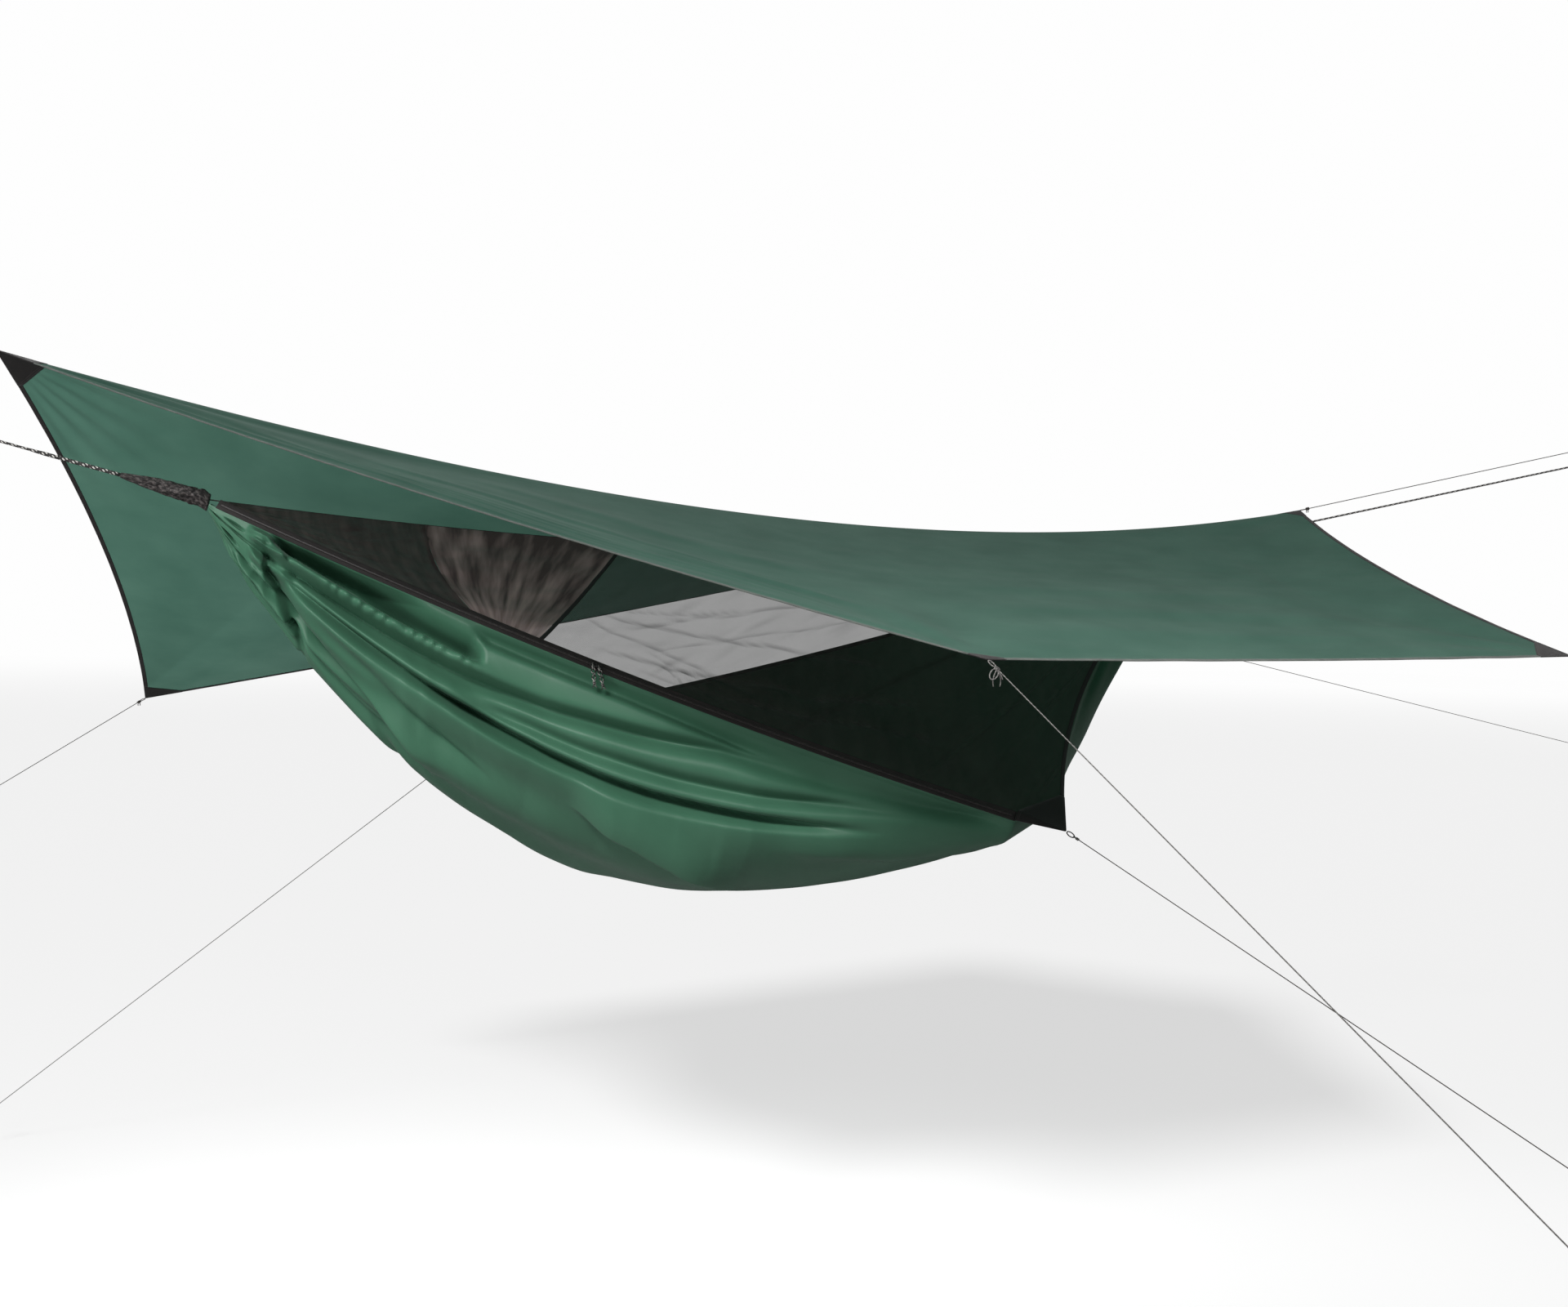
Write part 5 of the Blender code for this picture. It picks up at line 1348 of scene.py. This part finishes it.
def inset(name, t, distance):
    """A point so far inside the tarp's edge."""
    arc = EDGES[name]
    p = arc.point(t)
    return p + square_to(arc.tangent(t), tarp_ridge(0.75 * p[0]) - p) * distance


def cut_share(name, which, extra=0.0):
    """Share of an edge at which its start (which 0) or end (1) is cut off for a corner patch."""
    share = (CUTS[name][which] + extra) / EDGES[name].length
    return 1 - share if which else share


CLOTH_IN = BINDING_W - 0.002   # from the edge's line to the cloth's own edge, tucked inside the binding


def edge_at(run, s):
    """The cloth's edge at station s of a side, counted as in the CAD sheet."""
    first = 0
    for name in run:
        low, high = cut_share(name, 0), cut_share(name, 1)
        if s <= first + STEPS[name]:
            if s >= first:
                return inset(name, mix(low, high, (s - first) / STEPS[name]), CLOTH_IN)
            return mix(before, inset(name, low, CLOTH_IN), s - first + 1)
        before = inset(name, high, CLOTH_IN)
        first += STEPS[name] + 1
    return before


# Corner, height, reach of its wrinkles on the near and the far panel, wrinkles for a radian
TARP_CORNERS = (
    (TARP_L, 0.0040, 1.50, 0.35, 26.0),
    (TARP_NM, 0.0055, 0.70, 0.20, 7.0),
    (TARP_NR, 0.0045, 0.60, 0.20, 9.0),
    (TARP_R, 0.0035, 0.55, 0.55, 9.0),
    (TARP_FL, 0.0015, 0.20, 0.35, 8.0),
    (TARP_F2, 0.0030, 0.20, 0.55, 8.0),
)
TARP_SOFT, TARP_FINE = 0.0030, 0.0009   # heights
tarp_soft = waves(91, 7)
tarp_fine = waves(97, 9)


def tarp_wrinkles(points, across):
    """Height of the wrinkles that run from the corners, with soft waves between them."""
    near = np.where(across < 0, 1.0, 0.4)
    total = TARP_SOFT * near * tarp_soft(points[..., 0] * 1.6, across * 2.2)
    total = total + TARP_FINE * near * tarp_fine(points[..., 0] * 6 + across * 3, across * 16)
    for corner, height, near_reach, far_reach, pace in TARP_CORNERS:
        away = points - corner
        reach = np.where(across < 0, near_reach, far_reach)
        distance = np.linalg.norm(away, axis=-1)
        middle = unit(vec(-corner[0] * 0.8, -corner[1], 0.1))
        sideways = unit(np.cross(middle, vec(0, 0, 1)))
        angle = np.arctan2(away @ sideways, away @ middle)
        grown = rise(distance, 0.05, 0.25) * np.exp(-(distance / reach) ** 2)
        total = total + height * grown * np.cos(pace * angle + 1.1 * np.sin(3.1 * angle + distance * 2))
    return total


# Long folds of the near panel, parallel to its edges: distance from the edge at each end, height and width
TARP_FOLDS = (
    ((-1.30, 0.16), (0.00, 0.20), 0.007, 0.020),
    ((-1.00, 0.30), (0.05, 0.34), 0.006, 0.026),
    ((-0.90, 0.62), (0.10, 0.70), 0.005, 0.040),
    ((-1.60, 0.06), (-0.40, 0.08), 0.005, 0.012),
    ((-1.50, 0.10), (-0.10, 0.13), 0.005, 0.013),
    ((-1.40, 0.22), (-0.30, 0.28), 0.005, 0.014),
    ((-1.10, 0.38), (-0.10, 0.46), 0.005, 0.018),
    ((-0.60, 0.36), (0.00, 0.34), 0.005, 0.022),
    ((0.12, 0.22), (1.45, 0.20), 0.007, 0.045),
    ((0.16, 0.44), (1.35, 0.40), 0.008, 0.050),
    ((0.20, 0.68), (1.50, 0.60), 0.007, 0.060),
)


def canopy_grid(count, half):
    """Rows of points from the near edge over the ridge to the far edge."""
    v = np.linspace(0, 1, half + 1)[:, None]
    first = TARP_L[0] + CUTS["near_long"][0]
    last = TARP_R[0] - CUTS["near_end"][1]
    rows = []
    for share in np.linspace(0, 1, count):
        near = edge_at(NEAR_RUN, share * STATIONS)
        far = edge_at(FAR_RUN, share * STATIONS)
        middle = tarp_ridge(mix(first, last, share))
        belly = DOWN * PANEL_BELLY * 4 * v * (1 - v) * 4 * share * (1 - share)
        rows.append(np.concatenate([mix(near, middle, v) + belly, (mix(middle, far, v) + belly)[1:]]))
    return np.array(rows)


def tarp_sheet(count=340, half=110):
    rows = canopy_grid(count, half)
    across = lengths_across(rows)
    from_near = across
    from_edge = np.minimum(across, across[:, -1:] - across)
    across = across - across[:, half:half + 1]
    normal = units(np.cross(np.gradient(rows, axis=0), np.gradient(rows, axis=1)))
    normal *= np.sign(normal[..., 2:3])
    height = tarp_wrinkles(rows, across)
    for (xa, da), (xb, db), size, width in TARP_FOLDS:
        share = (rows[..., 0] - xa) / (xb - xa)
        grown = span(share, 0.0, 0.25, 0.75, 1.0) * (across < 0)
        height = height + size * grown * lip(from_near - mix(da, db, share), width, 2.2 * width)
    height *= rise(from_edge, 0.0, 0.05) * rise(np.abs(across), 0.0, 0.05)
    rows = rows + normal * height[..., None]
    shape = Shape()
    shape.grid(rows, rows[..., 0], across)
    return piece("tarp_sheet", shape, tarp_cloth, "tarp", "tarp_canopy", closed=False)


tarp = tarp_sheet()

for edge_name, arc in EDGES.items():
    shares = np.linspace(cut_share(edge_name, 0), cut_share(edge_name, 1), 160)
    tape = light_tape if edge_name in ("near_long", "near_low") else black_tape
    inner = [inset(edge_name, t, BINDING_W) for t in shares]
    ribbon("tarp_" + edge_name + "_tape", inner, [arc.point(t) for t in shares], BINDING_T, tape,
           "tarp_" + edge_name + "_binding", "tarp", seed=len(edge_name))

# Corner patches: tip, the edges that end and start there with which end it is, and where the ridge is met
for corner, tip, edge_a, which_a, edge_b, which_b, ridge_x in (
    ("left", TARP_L, "near_long", 0, "far_end", 0, TARP_L[0] + CUTS["near_long"][0] - 2 * GAP),
    ("right", TARP_R, "near_end", 1, "far_long", 1, TARP_R[0] - CUTS["near_end"][1] + 2 * GAP),
    ("near_middle", TARP_NM, "near_long", 1, "near_low", 0, None),
    ("near_right", TARP_NR, "near_low", 1, "near_end", 0, None),
    ("far_left", TARP_FL, "far_end", 1, "far_low", 0, None),
    ("far_right", TARP_F2, "far_low", 1, "far_long", 0, None),
):
    share_a = cut_share(edge_a, which_a, -GAP)
    share_b = cut_share(edge_b, which_b, -GAP)
    middle = [] if ridge_x is None else [tarp_ridge(ridge_x)]
    rim = [inset(edge_a, share_a, 0), inset(edge_a, share_a, BINDING_W), *middle,
           inset(edge_b, share_b, BINDING_W), inset(edge_b, share_b, 0)]
    patch("tarp_" + corner + "_corner", tip, rim, "tarp", "tarp_" + corner + "_patch")


# Floor, world and lamps
FLOOR_HALF = 60.0
FADE_START, FADE_END = 20.0, 58.0   # distance over which the floor fades into the background
FLOOR_GLOW = 0.62            # light that only the camera sees, for the photograph's bright floor
BACKGROUND = 0.99
HORIZON = 0.985
AMBIENT, GLOSSY_AMBIENT = 0.13, 0.18
WHITE = (1.0, 1.0, 1.0)


def grey(level):
    return (level,) * 3


def add_floor():
    mesh = bpy.data.meshes.new("floor")
    h = FLOOR_HALF
    mesh.from_pydata([(-h, -h, 0), (h, -h, 0), (h, h, 0), (-h, h, 0)], [], [(0, 1, 2, 3)])
    floor = bpy.data.objects.new("floor", mesh)
    floor.location = (HALF_SPAN, 0, FLOOR_Z - HOLD_POINT[2])
    bpy.context.scene.collection.objects.link(floor)
    look = Look("floor")
    place = look.add("ShaderNodeTexCoord").outputs["Object"]
    reach = look.add("ShaderNodeVectorMath", {"operation": "LENGTH"}, Vector=place).outputs["Value"]
    far = look.add("ShaderNodeMapRange", {"interpolation_type": "SMOOTHSTEP"}, Value=reach,
                   From_Min=FADE_START, From_Max=FADE_END).outputs[0]
    seen = look.add("ShaderNodeLightPath").outputs["Is Camera Ray"]
    pale = look.add("ShaderNodeBsdfDiffuse", Color=look.blend(seen, grey(0.30), grey(0.45)))
    lift = look.add("ShaderNodeEmission", Color=WHITE, Strength=look.math("MULTIPLY", seen, FLOOR_GLOW))
    white = look.add("ShaderNodeEmission", Color=WHITE, Strength=HORIZON)
    lit = look.pair("ShaderNodeAddShader", "SHADER", pale.outputs[0], lift.outputs[0])
    mixed = look.pair("ShaderNodeMixShader", "SHADER", lit, white.outputs[0],
                      Fac=look.math("MULTIPLY", far, seen))
    look.put(look.surface, mixed)
    mesh.materials.append(look.material)


def add_world():
    """A white background, with less light for what it lights than for the camera."""
    world = bpy.data.worlds.new("studio")
    bpy.context.scene.world = world
    world.use_nodes = True
    tree = world.node_tree
    back = tree.nodes["Background"]
    back.inputs["Color"].default_value = (*WHITE, 1.0)
    path = tree.nodes.new("ShaderNodeLightPath")
    gloss = tree.nodes.new("ShaderNodeMapRange")
    gloss.inputs["To Min"].default_value = AMBIENT
    gloss.inputs["To Max"].default_value = GLOSSY_AMBIENT
    level = tree.nodes.new("ShaderNodeMapRange")
    level.inputs["To Max"].default_value = BACKGROUND
    tree.links.new(path.outputs["Is Glossy Ray"], gloss.inputs["Value"])
    tree.links.new(gloss.outputs["Result"], level.inputs["To Min"])
    tree.links.new(path.outputs["Is Camera Ray"], level.inputs["Value"])
    tree.links.new(level.outputs["Result"], back.inputs["Strength"])


def put_lamp(name, data, place, back):
    """Places a lamp that shines away from back."""
    lamp = bpy.data.objects.new(name, data)
    over = across_of(back)[0]
    stand(lamp, np.cross(over, back), over, back, place)
    lamp.visible_camera = False
    lamp.visible_glossy = data.type == "SUN"


def add_softbox(name, place, aim, wide, high, power, spread=180):
    data = bpy.data.lights.new(name, "AREA")
    data.energy = power
    data.shape = "RECTANGLE"
    data.size = wide
    data.size_y = high
    data.spread = radians(spread)
    put_lamp(name, data, place, unit(place - aim))


def add_sun(name, towards, strength, spread):
    """A soft lamp whose light travels in the direction towards."""
    data = bpy.data.lights.new(name, "SUN")
    data.energy = strength
    data.angle = radians(spread)
    put_lamp(name, data, vec(0, 0, 3), -unit(towards))


add_floor()
add_world()
add_sun("front", vec(0.46, 0.60, -0.62), 2.15, 10)
add_softbox("key", vec(-1.6, -2.3, 1.10), vec(-0.9, -0.4, -0.40), 0.8, 0.8, 18)
add_softbox("fill", vec(-3.1, -1.7, -0.30), vec(-1.0, -0.1, -0.1), 1.0, 1.0, 29)
add_softbox("edge", vec(0.75, -1.70, 0.30), vec(0.85, -1.0, -0.25), 2.2, 0.4, 14)
add_softbox("back", vec(-3.6, 3.4, 2.4), vec(-1.65, 0.5, 0.0), 1.4, 1.4, 42, 50)
bpy.context.scene.view_settings.view_transform = "Standard"
